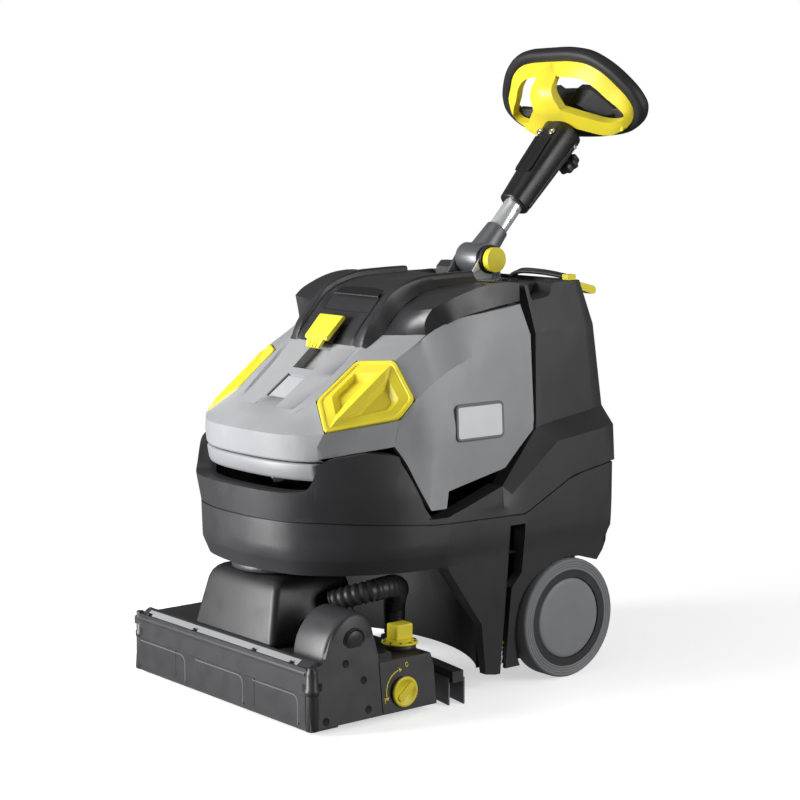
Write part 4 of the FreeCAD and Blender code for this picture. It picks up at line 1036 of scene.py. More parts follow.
def wheel_point(x, up, out):
    return RIM_MIDDLE + Vector((WHEEL_SPREAD * x, 0, 0)) + WHEEL_UP * up + WHEEL_OUT * out


def rim_path(grow, out):
    half = []
    for x, up in RIM_LINE:
        arm = Vector((x, up - 10.0, 0))
        arm = arm * ((arm.length + grow) / arm.length)
        half.append((arm.x, arm.y + 10.0))
    loop = half + [(-x, up) for x, up in reversed(half[1:-1])]
    knots = [Vector((x, up, 0)) for x, up in loop]
    line = spline(knots[-2:] + knots + knots[:3], 7, (), False)[14:-14]
    return [wheel_point(p.x, p.y, out) for p in line[:-7]]


def make_steering_wheel():
    swept("rim_grip", "steering", "rubber_black", rim_path(0.0, 1.0), superellipse(12.0, 12.5, 2.6, 24),
          WHEEL_OUT,
          bevel=0.0, replaces=("steering_rim",))
    bowl = Skin()
    edge = spline([wheel_point(*p) for p in BOWL_EDGE], 4, (8,), False)
    window = spline([wheel_point(*p) for p in WINDOW_EDGE], 4, (), False)
    bowl.lines([edge, window], 3)
    middle = [wheel_point(*p) for p in SPOKE_MIDDLE]
    side = [edge[0], window[0], wheel_point(*SPOKE_SIDE), window[-1], edge[-1]]
    bowl.lines([spline(middle, 4, (), False), spline(side, 4, (1, 3), False)], 3)
    bowl.hem(edge, lambda p: WHEEL_OUT * 5.0)
    opening = window + spline(side[1:4], 4, (), False)[1:-1][::-1]
    bowl.lines([opening, [p + WHEEL_OUT * 13.0 for p in opening]], 1, True)
    bowl.build("wheel_bowl", "steering", "yellow_plastic", both=True, wall=2.6, bevel=1.3, segments=3,
               replaces=("steering_shell",))
    hub = Skin()
    back = [wheel_point(x, up, 14.0) for x, up in HUB_BACK]
    waist = [wheel_point(x, up, -2.0) for x, up in HUB_BACK]
    front = [wheel_point(0.66 * x, 0.6 * up - 6.0, -26.0) for x, up in HUB_BACK]
    hub.lines([back, waist, front])
    hub.cap(front)
    hub.cap(back)
    hub.build("wheel_hub_body", "steering", "black_plastic", both=True, bevel=2.2, segments=3,
              replaces=("steering_hub",), material=SHADES["hub"])
    for turn, word in ((1, "left"), (-1, "right")):
        spoke = [(60, -38), (122, -32), (134, -26), (134, -10), (60, -16)]
        prism("wheel_spoke_" + word, "steering", "black_plastic",
              [wheel_point(turn * x, up, -6.0) for x, up in spoke], WHEEL_OUT * 12.0, bevel=2.0, segments=3)
        prism("trigger_lever_" + word, "trigger_" + word, "black_plastic",
              [wheel_point(turn * x, up, 15.0) for x, up in LEVER], WHEEL_OUT * 6.0, bevel=1.8, segments=3,
              replaces=("trigger_" + word,))
        turned("bowl_screw_" + word, "steering", "yellow_plastic", wheel_point(turn * 112, -41, -19),
               -WHEEL_OUT,
               [(7.5, -6), (7.5, 2), (6.9, 3), (3.0, 3), (2.6, 0.5), (0, 0.5)], steps=32)
    turned("power_cap", "power_button", "black_plastic", wheel_point(0, -8, 10.2), WHEEL_OUT,
           [(9, 0), (9, 5.2), (8, 6.4), (5, 6.8), (0, 6.2)], steps=40, replaces=("power_button",))


# ---------------------------------------------------------------- column

COLUMN_PIVOT = Vector((0, 159, 685))
COLUMN_RISE = math.radians(47.0)
COLUMN = Vector((0, math.cos(COLUMN_RISE), math.sin(COLUMN_RISE)))
COLUMN_FACE = Vector((0, -math.sin(COLUMN_RISE), math.cos(COLUMN_RISE)))


# Distances along the column, with the half width and half height of the sleeve.
SLEEVE_LEVELS = [(122, 23, 22.5), (124, 25.5, 25), (160, 27.5, 26.5), (230, 31.5, 29.5), (284, 34.5, 31.5),
                 (292, 34.5, 31.5),
                 (294, 33, 30)]
SLEEVE_TOP_X = 15.0
TUBE_LOW, TUBE_HIGH = 34.0, 234.0
KNOB_ALONG, KNOB_REACH = 262.0, 47.0


def column_point(along, x=0.0, face=0.0):
    return COLUMN_PIVOT + COLUMN * along + Vector((x, 0, 0)) + COLUMN_FACE * face


def make_column():
    # sleeve: rounded box that widens towards the wheel
    sleeve = Skin()
    rings = []
    for along, wide, high in SLEEVE_LEVELS:
        rings.append([column_point(along, side, up) for side, up in superellipse(wide, high, 2.5, 48)])
    sleeve.lines(rings, 1, True)
    sleeve.cap(rings[0])
    sleeve.cap(rings[-1])
    sleeve.build("sleeve_form", "sleeve", "black_plastic", bevel=1.0, replaces=("column_sleeve",),
                 material=SHADES["sleeve"])
    half_wide = [(along, wide) for along, wide, _ in SLEEVE_LEVELS]
    half_high = [(along, high) for along, _, high in SLEEVE_LEVELS]
    for turn, word in ((1, "left"), (-1, "right")):
        # long slot with a screw on the upper face, and a rib with a screw low on each flank
        slot = []
        for along, side in ((178, -4), (186, -4.5), (256, -4.5), (256, 4.5), (186, 4.5), (178, 2)):
            slot.append(column_point(along, turn * (SLEEVE_TOP_X + side),
                                     between(half_high, along) * 0.975))
        # the slot is a thin near-black plate: painted shade
        prism("sleeve_slot_" + word, "sleeve", "rubber_black", slot, COLUMN_FACE * 0.7, bevel=0.3,
              material=SHADES["hole_shade"])
        turned("sleeve_screw_" + word, "sleeve", "steel",
               column_point(266, turn * SLEEVE_TOP_X, between(half_high, 266) * 0.97), COLUMN_FACE,
               [(6.4, 0), (6.4, 1.8), (5.6, 2.8), (2.6, 2.9), (2.4, 1.4), (0, 1.4)], steps=32)
        rib = []
        for along, face in ((128, -16), (280, -19), (280, -11), (128, -9)):
            rib.append(column_point(along, turn * (between(half_wide, along) * 0.955 - 1.0), face))
        prism("sleeve_rib_" + word, "sleeve", "black_plastic", rib, (turn * 3.0, 0, 0), bevel=1.2,
              segments=3,
              material=SHADES["sleeve"])
        line = []
        for along, face in ((132, -7.5), (276, -9.4), (276, -7.6), (132, -6.2)):
            line.append(column_point(along, turn * (between(half_wide, along) * 0.985 - 0.6), face))
        # the groove line is a thin near-black strip: painted shade
        prism("sleeve_line_" + word, "sleeve", "rubber_black", line, (turn * 0.9, 0, 0), bevel=0.2,
              material=SHADES["hole_shade"])
        turned("sleeve_pin_" + word, "sleeve", "steel",
               column_point(272, turn * (between(half_wide, 272) * 0.955 + 1.4), -15), (turn, 0, 0),
               [(4.2, 0), (4.2, 1.4), (3.6, 2.0), (1.8, 2.0), (1.6, 1.0), (0, 1.0)], steps=28)
    # the tube takes the whiter copy of the chrome: painted sheen
    turned("chrome_tube", "column", "chrome", column_point(TUBE_LOW), COLUMN,
           [(0, 0), (15.6, 0), (16.6, 1.0), (16.6, TUBE_HIGH - TUBE_LOW - 1), (15.6, TUBE_HIGH - TUBE_LOW),
            (0, TUBE_HIGH - TUBE_LOW)], steps=64, material=SHADES["tube"], replaces=("column_tube",))
    for along in (88, 112):
        turned("tube_rivet_%d" % along, "column", "steel", column_point(along, 15.9), (1, 0, 0),
               [(3.4, 0), (3.2, 0.9), (2.2, 1.5), (0, 1.7)], steps=24)
    turned("fold_ring", "column", "rubber_black", column_point(0, 30.0), (1, 0, 0),
           [(21.2, 0), (24.4, 0), (24.4, 5.5), (23.6, 6.4), (22.0, 6.4), (21.2, 5.6)], closed=True,
           steps=64)
    lobes = Skin()
    knob_middle, knob_axis = column_point(KNOB_ALONG, 0, -KNOB_REACH), -COLUMN_FACE
    across = Vector((1, 0, 0))
    upright = knob_axis.cross(across)
    rings = []
    for along, scale in ((-9, 0.82), (-7, 0.96), (-4, 1.0), (5, 1.0), (8, 0.95), (9.5, 0.82)):
        ring = []
        for step in range(72):
            angle = 2 * math.pi * step / 72
            radius = scale * (19.0 + 1.8 * math.cos(7 * angle))
            ring.append(knob_middle + knob_axis * along + across * (radius * math.cos(angle))
                        + upright * (radius * math.sin(angle)))
        rings.append(ring)
    lobes.lines(rings, 1, True)
    lobes.cap(rings[0])
    lobes.cap(rings[-1])
    lobes.build("knob_lobes", "clamp_knob", "black_plastic", bevel=0.6, replaces=("clamp_knob",))
    turned("knob_stem", "clamp_knob", "steel", column_point(KNOB_ALONG, 0, -26), -COLUMN_FACE,
           [(0, 0), (5, 0), (5, 14), (0, 14)], steps=32)
    turned("knob_boss", "sleeve", "black_plastic", column_point(KNOB_ALONG, 0, -22), -COLUMN_FACE,
           [(0, 0), (11, 0), (10, 11), (9, 12), (5.2, 12), (5.2, 10), (0, 10)], steps=40)


# ---------------------------------------------------------------- scrub head

HEAD_LOW, HEAD_TOP = 245.0, 234.0


def head_face_x(z):
    return HEAD_LOW - (HEAD_LOW - HEAD_TOP) / 90.0 * (z - 8.0)


def rounded_ring(z, half, front, rear, corner, steps=6):
    """Closed rounded rectangle at a height."""
    ring = []
    for x, y, start in ((half - corner, rear - corner, 0), (corner - half, rear - corner, 90),
                        (corner - half, front + corner, 180), (half - corner, front + corner, 270)):
        for step in range(steps + 1):
            angle = math.radians(start + 90.0 * step / steps)
            ring.append(Vector((x + corner * math.cos(angle), y + corner * math.sin(angle), z)))
    return ring


def make_motor_dome():
    dome = Skin()
    levels = [(104, 106, -357, -186, 10), (112, 105, -355.6, -186.7, 9), (150, 99, -347, -190, 9),
              (184, 93, -339, -194, 9), (194, 90, -334.5, -196.5, 10), (200, 86, -329, -200, 11),
              (203.6, 81, -323, -205, 12), (205, 74, -316, -211, 11)]
    rings = [rounded_ring(*level) for level in levels]
    dome.lines(rings, 1, True)
    dome.cap(rings[-1])
    dome.build("dome_cover", "head", "black_plastic", bevel=0.0, wall=2.5, replaces=("motor_dome",),
               material=SHADES["dome"])
    for side in (1, -1):
        for y in (-306, -226):
            turned("dome_screw_%d_%d" % (side, -y), "head", "steel", (side * 66, y, 204.6), (0, 0, 1),
                   [(4.2, 0), (4.2, 1.6), (3.6, 2.2), (1.6, 2.2), (1.6, 1.0), (0, 1.0)], steps=24)
    # raised field on the front, and one on each end
    panel = [(-72, 120), (72, 120), (74, 128), (68, 176), (62, 184), (-62, 184), (-68, 176), (-74, 128)]
    prism("dome_panel", "head", "black_plastic", [(x, -357.6 + (z - 104) * 0.226, z) for x, z in panel],
          (0, 2.0, 0),
          bevel=0.5, material=SHADES["dome"])
    for side in (1, -1):
        field = [(-322, 122), (-222, 122), (-226, 168), (-238, 182), (-306, 182), (-318, 168)]
        prism("dome_field_%s" % ("left" if side > 0 else "right"), "head", "black_plastic",
              [(side * (106.6 - (z - 104) * 0.163), y, z) for y, z in field], (-side * 2.0, 0, 0),
              bevel=0.5,
              material=SHADES["dome"])


ARCH_KNOTS = [(-349, 104.5), (-347.5, 118), (-341, 138), (-330, 154), (-312, 169), (-290, 175.5),
              (-268, 169),
              (-254, 150), (-248, 124), (-247, 104.5)]
PLATE_FRONT, PLATE_REAR = -372.0, -247.0
COVER_SCREWS = [(-311, 100), (-279, 70), (-274, 24), (-356, 20)]


def make_drive_cover():
    arch = spline([(0, y, z) for y, z in ARCH_KNOTS], 5, (), False)
    middle = Vector((0, -298, 120))
    cover = Skin()
    rows = []
    for x, inset in ((150, 4), (152, 0.6), (156, 0), (217, 0), (223, 0.8), (227, 2.6), (229.4, 5.5),
                     (230.4, 9)):
        row = []
        for p in arch:
            arm = middle - p
            moved = p + arm.normalized() * min(inset, arm.length * 0.5)
            row.append(Vector((x, moved.y, max(104.5, moved.z))))
        rows.append(row)
    cover.lines(rows)
    cover.cap(rows[-1])
    cover.cap(rows[0])
    cover.build("drive_arch", "head", "black_plastic", bevel=0.8, replaces=("drive_cover_left",))
    # side plate: from the front corner to the squeegee panel, with the same arch, flush with the
    # leaning end
    plate = Skin()
    outline = [(PLATE_FRONT, 10), (PLATE_FRONT, 98), (PLATE_FRONT + 4, 103), (-356, 106), (-348, 112)]
    outline += [(p.y, p.z) for p in spline([(0, y, z) for y,
                                            z in [(-344, 122), (-336, 140), (-325, 155), (-309, 166),
                (-290, 171.5), (-271, 166), (-258, 149), (-250.5, 124)]], 4, (), False)]
    outline += [(PLATE_REAR, 104), (PLATE_REAR, 10)]
    outer = [Vector((min(head_face_x(z) + 0.6, 249.8), y, z)) for y, z in outline]
    inner = [p - Vector((9, 0, 0)) for p in outer]
    plate.cap(outer)
    plate.lines([outer, inner], 1, True)
    plate.cap(inner)
    plate.build("drive_side_plate", "head", "black_plastic", bevel=1.2, material=SHADES["plate"],
                replaces=("cover_screws",))
    for y, z in COVER_SCREWS:
        # screw sockets drawn as near-black discs: painted shade
        turned("cover_socket_%d" % -y, "head", "rubber_black", (head_face_x(z) + 0.1, y, z), (1, 0, 0.12),
               [(6.2, 0), (6.2, 0.9), (5.4, 1.1), (5.0, 0.8), (0, 0.8)], steps=40, material=SHADES["hole_shade"])
    turned("drive_cap_ring", "head", "rubber_black", (head_face_x(132) - 2, -292, 132), (1, 0, -0.12),
           [(20.5, 0), (20.5, 3.2), (19.6, 3.8), (17.6, 3.8), (17.2, 2.4), (0, 2.4)], steps=56)
    turned("drive_cap", "head", "black_plastic", (head_face_x(132) - 1, -292, 132), (1, 0, -0.12),
           [(16.6, 0), (16.6, 3.0), (15.6, 3.9), (5, 4.2), (0, 4.2)], steps=56)


DIAL = Vector((244.6, -203, 40))
DIAL_ARROW_RADIUS = 34.0


def dial_point(angle, radius, lift=0.0):
    """A point on the leaning side panel around the pressure dial, the angle turning up from the rear."""
    y = DIAL.y + radius * math.cos(angle)
    z = DIAL.z + radius * math.sin(angle)
    return Vector((head_face_x(z) + lift, y, z))


def print_on_panel(name, line, half_width):
    """A thin printed stroke that follows a line of (angle, radius) pairs."""
    stroke = Skin()
    stroke.lines([[dial_point(a, r - half_width, 0.5) for a, r in line],
                  [dial_point(a, r + half_width, 0.5) for a, r in line]])
    stroke.build(name, "head", "yellow_plastic", wall=0.4, bevel=0.0)


def make_pressure_scale():
    arc = [(math.radians(102 + 84 * step / 20.0), DIAL_ARROW_RADIUS) for step in range(21)]
    print_on_panel("scale_arc", arc, 0.9)
    for index, (degrees, turn) in enumerate(((100, -1), (188, 1))):
        tip = Skin()
        angle = math.radians(degrees)
        tip.face(dial_point(angle + turn * 0.16, DIAL_ARROW_RADIUS, 0.7),
                 dial_point(angle, DIAL_ARROW_RADIUS - 4, 0.7),
                 dial_point(angle, DIAL_ARROW_RADIUS + 4, 0.7))
        tip.build("scale_tip_%d" % index, "head", "yellow_plastic", wall=0.4, bevel=0.0)
    one = [(-241.4, 27), (-239.6, 27), (-239.6, 35), (-241.4, 35)]
    prism("scale_one", "head", "yellow_plastic", [(head_face_x(z) + 0.1, y, z) for y, z in one],
          (0.5, 0, 0), bevel=0.0)
    zero = []
    for step in range(24):
        angle = 2 * math.pi * step / 24
        zero.append((-193 + 2.8 * math.cos(angle), 80 + 4.2 * math.sin(angle)))
    ring = Skin()
    outer = [Vector((head_face_x(z) + 0.6, y, z)) for y, z in zero]
    ring.lines([outer, [p + (Vector((p.x, -193, 80)) - p) * 0.38 for p in outer]], 1, True)
    ring.build("scale_zero", "head", "yellow_plastic", wall=0.4, bevel=0.0)


def make_knobs():
    turned("pressure_dial", "pressure_knob", "yellow_plastic", DIAL, (1, 0, 0),
           [(24, -1), (24, 2.2), (23.2, 3.2), (19, 3.5), (18.4, 2.4), (0, 2.4)], steps=64,
           replaces=("pressure_knob",))
    across = Vector((0, math.cos(math.radians(38)), math.sin(math.radians(38))))
    upright = Vector((0, -across.z, across.y))
    grip = []
    for along, half in ((-18.0, 4.4), (-12.0, 6.4), (12.0, 6.4), (18.0, 4.4)):
        grip.append(DIAL + Vector((1.6, 0, 0)) + across * along - upright * half)
    for along, half in ((18.0, 4.4), (12.0, 6.4), (-12.0, 6.4), (-18.0, 4.4)):
        grip.append(DIAL + Vector((1.6, 0, 0)) + across * along + upright * half)
    prism("pressure_grip", "pressure_knob", "yellow_plastic", grip, (3.6, 0, 0), bevel=1.6, segments=3)
    turned("squeegee_collar", "head", "black_plastic", (182, -162, 90), (0, 0, 1),
           [(26, 0), (26, 7), (24, 9), (0, 9)], steps=56)
    turned("squeegee_flange", "squeegee_knob", "yellow_plastic", (182, -162, 99.4), (0, 0, 1),
           [(29, 0), (29, 2.4), (28, 3.6), (24, 4), (21.5, 4), (21, 6.5), (18.5, 7.6), (0, 7.6)], steps=64,
           replaces=("squeegee_knob",))
    for index in range(10):
        angle = 2 * math.pi * index / 10
        x, y = 182 + 25.5 * math.cos(angle), -162 + 25.5 * math.sin(angle)
        turned("squeegee_slot_%d" % index, "squeegee_knob", "rubber_black", (x, y, 102.4), (0, 0, 1),
               [(2.4, 0), (2.4, 1.4), (1.8, 1.6), (0, 1.6)], steps=16)
    prism("squeegee_grip", "squeegee_knob", "yellow_plastic",
          [(169, -179, 106), (195, -179, 106), (195, -145, 106), (169, -145, 106)], (0, 0, 25), bevel=3.0,
          segments=3)


FRONT_FACE = -385.0
PANEL_SPANS = [(-226, -92), (-62, 70), (96, 214)]


def make_front_details():
    # three raised fields low on the front face, each with a raised rounded edge coloured pale grey as a
    # painted highlight
    for index, (left, right) in enumerate(PANEL_SPANS):
        outer = [(left, 60), (right - 12, 60), (right - 5, 57.5), (right - 1, 52), (right, 46), (right, 14)]
        inner = [(right - 2, 14), (right - 2, 46), (right - 3, 51), (right - 6.2, 55.6), (right - 12, 58),
                 (left, 58)]
        prism("front_panel_%d" % index, "head", "black_plastic",
              [(x, FRONT_FACE + 0.4, z) for x, z in [(left, 14)] + outer], (0, -1.4, 0), bevel=0.5,
              material=SHADES["plate"])
        prism("front_edge_%d" % index, "head", "black_plastic",
              [(x, FRONT_FACE - 0.6, z) for x, z in outer + inner],
              (0, -1.1, 0), bevel=0.3, material=SHADES["rib"])
    # slanted bed along the top edge with the pale strip on it
    bed = [(-386.4, 92), (-386.4, 97), (-384.6, 100), (-367, 111.4), (-362, 111.4), (-360, 103)]
    prism("strip_bed", "head", "black_plastic", [(-231, y, z) for y, z in bed], (462, 0, 0), bevel=1.2,
          material=SHADES["plate"])
    slope = Vector((0, 17.6, 11.4)).normalized()
    lift = Vector((0, -slope.z, slope.y))
    foot = Vector((0, -384.6, 100)) + lift * 0.1
    strip = Skin()
    low_edge, high_edge = [], []
    for x in range(-214, 205, 19):
        low_edge.append(foot + slope * 3.6 + Vector((x, 0, 0)))
        high_edge.append(foot + slope * 17.0 + Vector((x, 0, 0)))
    loops = [[p + lift * rise for p in low_edge + high_edge[::-1]] for rise in (0.0, 1.1)]
    strip.lines(loops, 1, True)
    strip.lines([[p + lift * 1.1 for p in low_edge], [p + lift * 1.1 for p in high_edge]])
    strip.build("pale_strip", "head", "strip_plastic", bevel=0.3, replaces=("front_strip",))
    for index, x in enumerate((-206, -72, 92, 190)):
        base = foot + Vector((x, 0, 0)) + lift * 1.0
        # near-black peg plates on the strip: painted shade
        prism("strip_peg_%d" % index, "head", "rubber_black",
              [base + slope * 2.4 + Vector((-8, 0, 0)), base + slope * 2.4 + Vector((8, 0, 0)),
               base + slope * 8.4 + Vector((4, 0, 0)), base + slope * 8.4 + Vector((-4, 0, 0))], lift * 1.2,
               bevel=0.4,
              material=SHADES["hole_shade"])
        turned("strip_pin_%d" % index, "head", "rubber_black", base + slope * 6.0, lift,
               [(2.8, 0), (2.8, 3.0), (2.2, 3.8), (0, 3.8)], steps=20)
    for side in (1, -1):
        word = "left" if side > 0 else "right"
        turned("corner_post_" + word, "head", "black_plastic", (side * 236.0, -376.5, 8), (0, 0, 1),
               [(0, 0), (10.0, 0), (10.4, 1.2), (10.0, 54), (10.0, 55), (11.2, 56), (11.2, 64), (9.8, 65.2),
                (9.2, 88),
                (8.4, 93), (6.4, 96), (4.4, 96.6), (4.0, 92), (0, 92)], steps=48)
        for turn in (0, 1):
            spot = (side * 227.0, -384.6, 74) if turn == 0 else (side * 240.6, -366.0, 74)
            wide = (9, 0, 0) if turn == 0 else (0, 9, 0)
            corner = Vector(spot)
            arm = Vector(wide) * 0.5
            # corner slots drawn as near-black plates: painted shade
            prism("corner_slot_%s_%d" % (word, turn), "head", "rubber_black",
                  [corner - arm - Vector((0, 0, 6)), corner + arm - Vector((0, 0, 6)),
                   corner + arm + Vector((0, 0, 6)),
                   corner - arm + Vector((0, 0, 6))], (side * 0.8, 0, 0) if turn else (0, -0.8, 0),
                   bevel=0.3,
                  material=SHADES["hole_shade"])
    prism("clip_tab", "head", "black_plastic",
          [(-232, -386, 84), (-246, -386, 84), (-246, -372, 84), (-232, -372, 84)], (0, 0, 14), bevel=2.0,
          segments=3)


# ---------------------------------------------------------------- plates on the tank and the seam

def make_seam_band():
    """Black band behind the seam between the two casings."""
    band = Skin()
    rows = []
    for drop in (9.0, -9.0):
        row = []
        for index in range(len(BOW[0][1])):
            point = on_bow(index, between(SEAM, on_bow(index, 300).y) + drop)
            inward = (Vector((0, -60, 0)) - Vector((point.x, point.y, 0))).normalized()
            row.append(point + inward * 4.5)
        for y in (-60, 5, 57, 110, 164, 200, 249):
            row.append(Vector((232.0, y, between(SEAM, y) + drop)))
        row += [Vector((222, 256, between(SEAM, 256) + drop)), Vector((0, 256, between(SEAM, 256) + drop))]
        rows.append(row)
    band.lines(rows)
    band.build("seam_band", "chassis", "black_plastic", both=True, wall=1.5, bevel=0.0)


# Plate on each flank: courses of its frame as (inset, lift), and the plane it lies in.
PLATE_COURSES = [(0.0, -4.0), (0.0, 0.6), (0.8, 1.5), (3.8, 1.5), (4.6, 0.9), (4.6, -4.0)]
PLATE_LOW, PLATE_HIGH, PLATE_FORE, PLATE_AFT, PLATE_ROUND = 417.0, 476.0, -87.0, 14.0, 9.0


def plate_ring(side, inset, lift):
    """Rounded outline of the flank plate, on a plane that leans in with height."""
    ring = []
    reach = PLATE_ROUND - inset
    for y, z, start in ((PLATE_AFT - PLATE_ROUND, PLATE_HIGH - PLATE_ROUND, 0),
                        (PLATE_FORE + PLATE_ROUND, PLATE_HIGH - PLATE_ROUND, 90),
                        (PLATE_FORE + PLATE_ROUND, PLATE_LOW + PLATE_ROUND, 180),
                        (PLATE_AFT - PLATE_ROUND, PLATE_LOW + PLATE_ROUND, 270)):
        for step in range(6):
            angle = math.radians(start + 18.0 * step)
            height = z + reach * math.sin(angle)
            ring.append(Vector((side * (231.2 - 0.05 * (height - PLATE_LOW) + lift),
                                y + reach * math.cos(angle), height)))
    return ring


def make_plates():
    # smooth blank field on the nose, a blank plate with a raised frame on each flank
    foot, head = FLOOR_ROWS[1], FLOOR_ROWS[2]
    down = Vector((0, 1.6, -2.4))
    badge = [(-22, foot, 0.06), (22, foot, 0.06), (22, foot, 0.94), (-22, foot, 0.94)]
    outline = []
    for x, _, share in badge:
        y = foot[0] + (head[0] - foot[0]) * share
        z = foot[1] + (head[1] - foot[1]) * share
        outline.append(Vector((x, y, z)) + down)
    prism("nose_field", "chassis", "black_plastic", outline, (0, 0.6, -0.9), bevel=0.6,
          replaces=("badge_plate",),
          material=SHADES["field"])
    for side in (1, -1):
        word = "left" if side > 0 else "right"
        rings = [plate_ring(side, inset, lift) for inset, lift in PLATE_COURSES]
        rim = Skin()
        rim.lines(rings, 1, True)
        rim.build("plate_frame_" + word, "chassis", "grey_plastic", bevel=0.0, merge=0.005,
                  material=SHADES["plate_rim"])
        film = Skin()
        film.lines([plate_ring(side, 4.6, 0.2), plate_ring(side, 4.6, 1.2)], 1, True)
        film.cap(plate_ring(side, 4.6, 1.2))
        film.cap(plate_ring(side, 4.6, 0.2))
        film.build("plate_film_" + word, "chassis", "plate_film", bevel=0.3, material=SHADES["film"],
                   replaces=("side_plates",) if side > 0 else ())


# dark plate across the raised middle of the lid: painted shade of the finger recess
LID_RECESS_SHADE = [(58, -106, 637.2), (-58, -106, 637.2), (-54, -84, 648.4), (54, -84, 648.4)]


def make_latch():
    latch = Skin()
    half_high, half_low = 31.0, 29.0
    side = [(-150, 601), (-152, 606.5), (-156, 606.5), (-187, 575), (-189, 570), (-184, 567)]
    left = [Vector((half_high if k in (0, 1, 2) else half_low, y, z)) for k, (y, z) in enumerate(side)]
    right = [Vector((-p.x, p.y, p.z)) for p in left]
    latch.lines([left, right], 1, False)
    latch.lines([[left[-1], left[0]], [right[-1], right[0]]])
    latch.cap(left)
    latch.cap(right)
    latch.build("latch_plate", "latch", "yellow_plastic", bevel=1.8, segments=3, replaces=("lid_latch",))
    tab = [(23, -183, 570), (-23, -183, 570), (-16, -191, 554), (16, -191, 554)]
    prism("latch_tab", "latch", "yellow_plastic", tab, (0, -5, 2.4), bevel=1.0)
    for x in (-9, 0, 9):
        prism("latch_rib_%d" % (x + 9), "latch", "yellow_plastic",
              [(x - 1.8, -187, 570), (x + 1.8, -187, 570), (x + 1.8, -195, 556), (x - 1.8, -195, 556)],
              (0, -2.6, 1.2),
              bevel=0.5)
    prism("latch_body", "latch", "black_plastic",
          [(26, -151, 598), (26, -182, 568), (26, -173, 563), (26, -160, 580)], (-52, 0, 0), bevel=0.8)


# ---------------------------------------------------------------- build

make_upper_casing()
make_lower_casing()
make_grey_tank()
for side in (1, -1):
    make_hexagonal_cap(side)
make_lid()
make_wheels()
make_cords()
make_steering_wheel()
make_column()
make_motor_dome()
make_drive_cover()
make_knobs()
make_pressure_scale()
make_front_details()
make_seam_band()
make_plates()
make_latch()
# dark plate on the lid's dip: painted shade of the finger recess
prism("lid_recess_shade", "lid", "lid_plastic", LID_RECESS_SHADE, (0, 0.5, -3.0), bevel=1.2, segments=3,
      material=SHADES["recess_shade"])
# ---------------------------------------------------------------- camera

VIEW_AZIMUTH = math.radians(50.6)
VIEW_ELEVATION = math.radians(7.5)
VIEW_DISTANCE = 3.4187
TARGET = at(0.0, -11.9, 454.9)
back = Vector((math.sin(VIEW_AZIMUTH) * math.cos(VIEW_ELEVATION),
               -math.cos(VIEW_AZIMUTH) * math.cos(VIEW_ELEVATION),
               math.sin(VIEW_ELEVATION)))
camera_data = bpy.data.cameras.new("camera")
camera_data.sensor_width = 36.0
camera_data.lens = 91.9
camera = bpy.data.objects.new("camera", camera_data)
bpy.context.scene.collection.objects.link(camera)
camera.location = TARGET + back * VIEW_DISTANCE
camera.rotation_mode = "QUATERNION"
camera.rotation_quaternion = (-back).to_track_quat("-Z", "Y")
bpy.context.scene.camera = camera

# ---------------------------------------------------------------- floor and light

HALF_FLOOR = 6.0
BACKDROP_RADIUS = 9.0


def white_glow(tree, strength):
    glow = tree.nodes.new("ShaderNodeEmission")
    glow.inputs["Color"].default_value = (1.0, 1.0, 1.0, 1.0)
    glow.inputs["Strength"].default_value = strength
    return glow.outputs["Emission"]


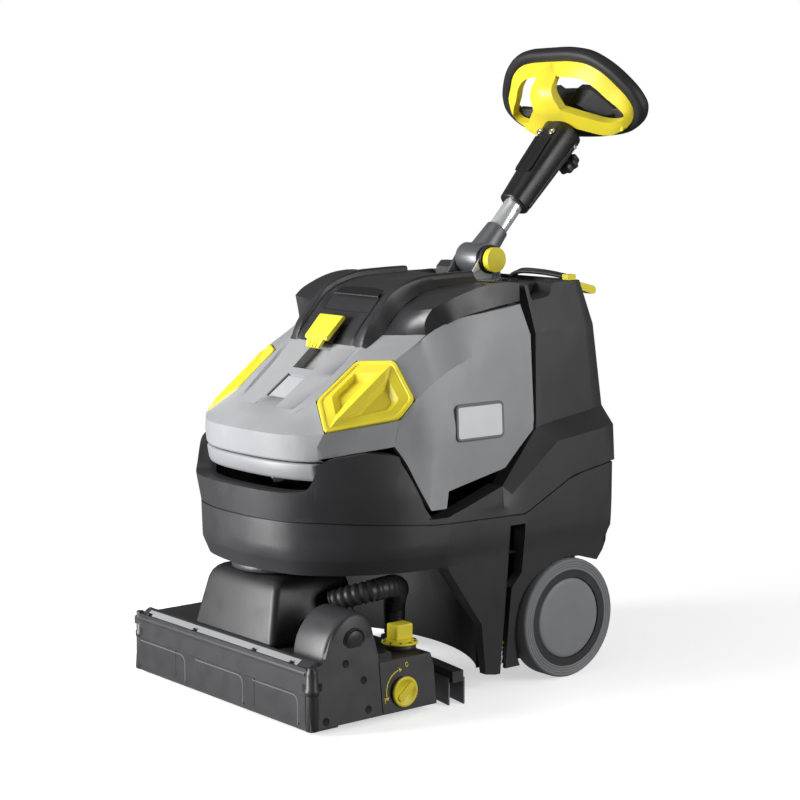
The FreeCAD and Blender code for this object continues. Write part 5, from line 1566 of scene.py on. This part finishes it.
def make_floor():
    """Pale floor that turns into the white backdrop away from the machine."""
    mesh = bpy.data.meshes.new("floor")
    corners = [(-HALF_FLOOR, -HALF_FLOOR, 0), (HALF_FLOOR, -HALF_FLOOR, 0), (HALF_FLOOR, HALF_FLOOR, 0),
               (-HALF_FLOOR, HALF_FLOOR, 0)]
    mesh.from_pydata(corners, [], [(0, 1, 2, 3)])
    floor = bpy.data.objects.new("floor", mesh)
    bpy.context.scene.collection.objects.link(floor)
    floor.location.z = cad_low.z - 0.0005
    material, tree, shader = new_material("floor")
    shader.inputs["Base Color"].default_value = (0.9, 0.9, 0.9, 1.0)
    shader.inputs["Roughness"].default_value = 0.6
    shader.inputs["Specular IOR Level"].default_value = 0.15
    shader.inputs["Emission Color"].default_value = (1.0, 1.0, 1.0, 1.0)
    shader.inputs["Emission Strength"].default_value = 0.55
    coords = tree.nodes.new("ShaderNodeTexCoord")
    distance = tree.nodes.new("ShaderNodeVectorMath")
    distance.operation = "LENGTH"
    tree.links.new(coords.outputs["Object"], distance.inputs[0])
    far = remap(tree, distance.outputs["Value"], 0.62, 1.35, 0.0, 1.0)
    blend = tree.nodes.new("ShaderNodeMixShader")
    tree.links.new(far, blend.inputs["Fac"])
    tree.links.new(shader.outputs["BSDF"], blend.inputs[1])
    tree.links.new(white_glow(tree, 1.0), blend.inputs[2])
    tree.links.new(blend.outputs["Shader"], tree.nodes["Material Output"].inputs["Surface"])
    mesh.materials.append(material)
    return floor


def make_backdrop():
    mesh = bpy.data.meshes.new("backdrop")
    work = bmesh.new()
    bmesh.ops.create_uvsphere(work, u_segments=48, v_segments=24, radius=BACKDROP_RADIUS)
    work.to_mesh(mesh)
    work.free()
    backdrop = bpy.data.objects.new("backdrop", mesh)
    bpy.context.scene.collection.objects.link(backdrop)
    material, tree, _ = new_material("backdrop")
    tree.links.new(white_glow(tree, 1.0), tree.nodes["Material Output"].inputs["Surface"])
    mesh.materials.append(material)
    return backdrop


floor = make_floor()
backdrop = make_backdrop()
for surface in (floor, backdrop):
    surface.visible_diffuse = False
    surface.visible_glossy = False
backdrop.visible_shadow = False

world = bpy.data.worlds.new("studio")
bpy.context.scene.world = world
world.use_nodes = True
world.node_tree.nodes["Background"].inputs["Color"].default_value = (1.0, 1.0, 1.0, 1.0)
world.node_tree.nodes["Background"].inputs["Strength"].default_value = 0.13
bpy.context.scene.view_settings.view_transform = "Standard"


def area_light(name, azimuth, elevation, distance, size, power):
    """A soft box that faces the middle of the machine."""
    data = bpy.data.lights.new(name, "AREA")
    data.shape = "RECTANGLE"
    data.size, data.size_y = size
    data.energy = power
    lamp = bpy.data.objects.new(name, data)
    bpy.context.scene.collection.objects.link(lamp)
    angle, height = math.radians(azimuth), math.radians(elevation)
    away = Vector((math.sin(angle) * math.cos(height), -math.cos(angle) * math.cos(height),
                   math.sin(height)))
    lamp.location = TARGET + away * distance
    lamp.rotation_mode = "QUATERNION"
    lamp.rotation_quaternion = (-away).to_track_quat("-Z", "Y")
    return lamp


area_light("left_box", -24.0, 5.0, 2.6, (1.3, 2.0), 170.0)
area_light("right_box", 112.0, 12.0, 2.6, (1.2, 2.2), 40.0)
area_light("top_box", 20.0, 84.0, 2.8, (2.0, 2.0), 10.0)
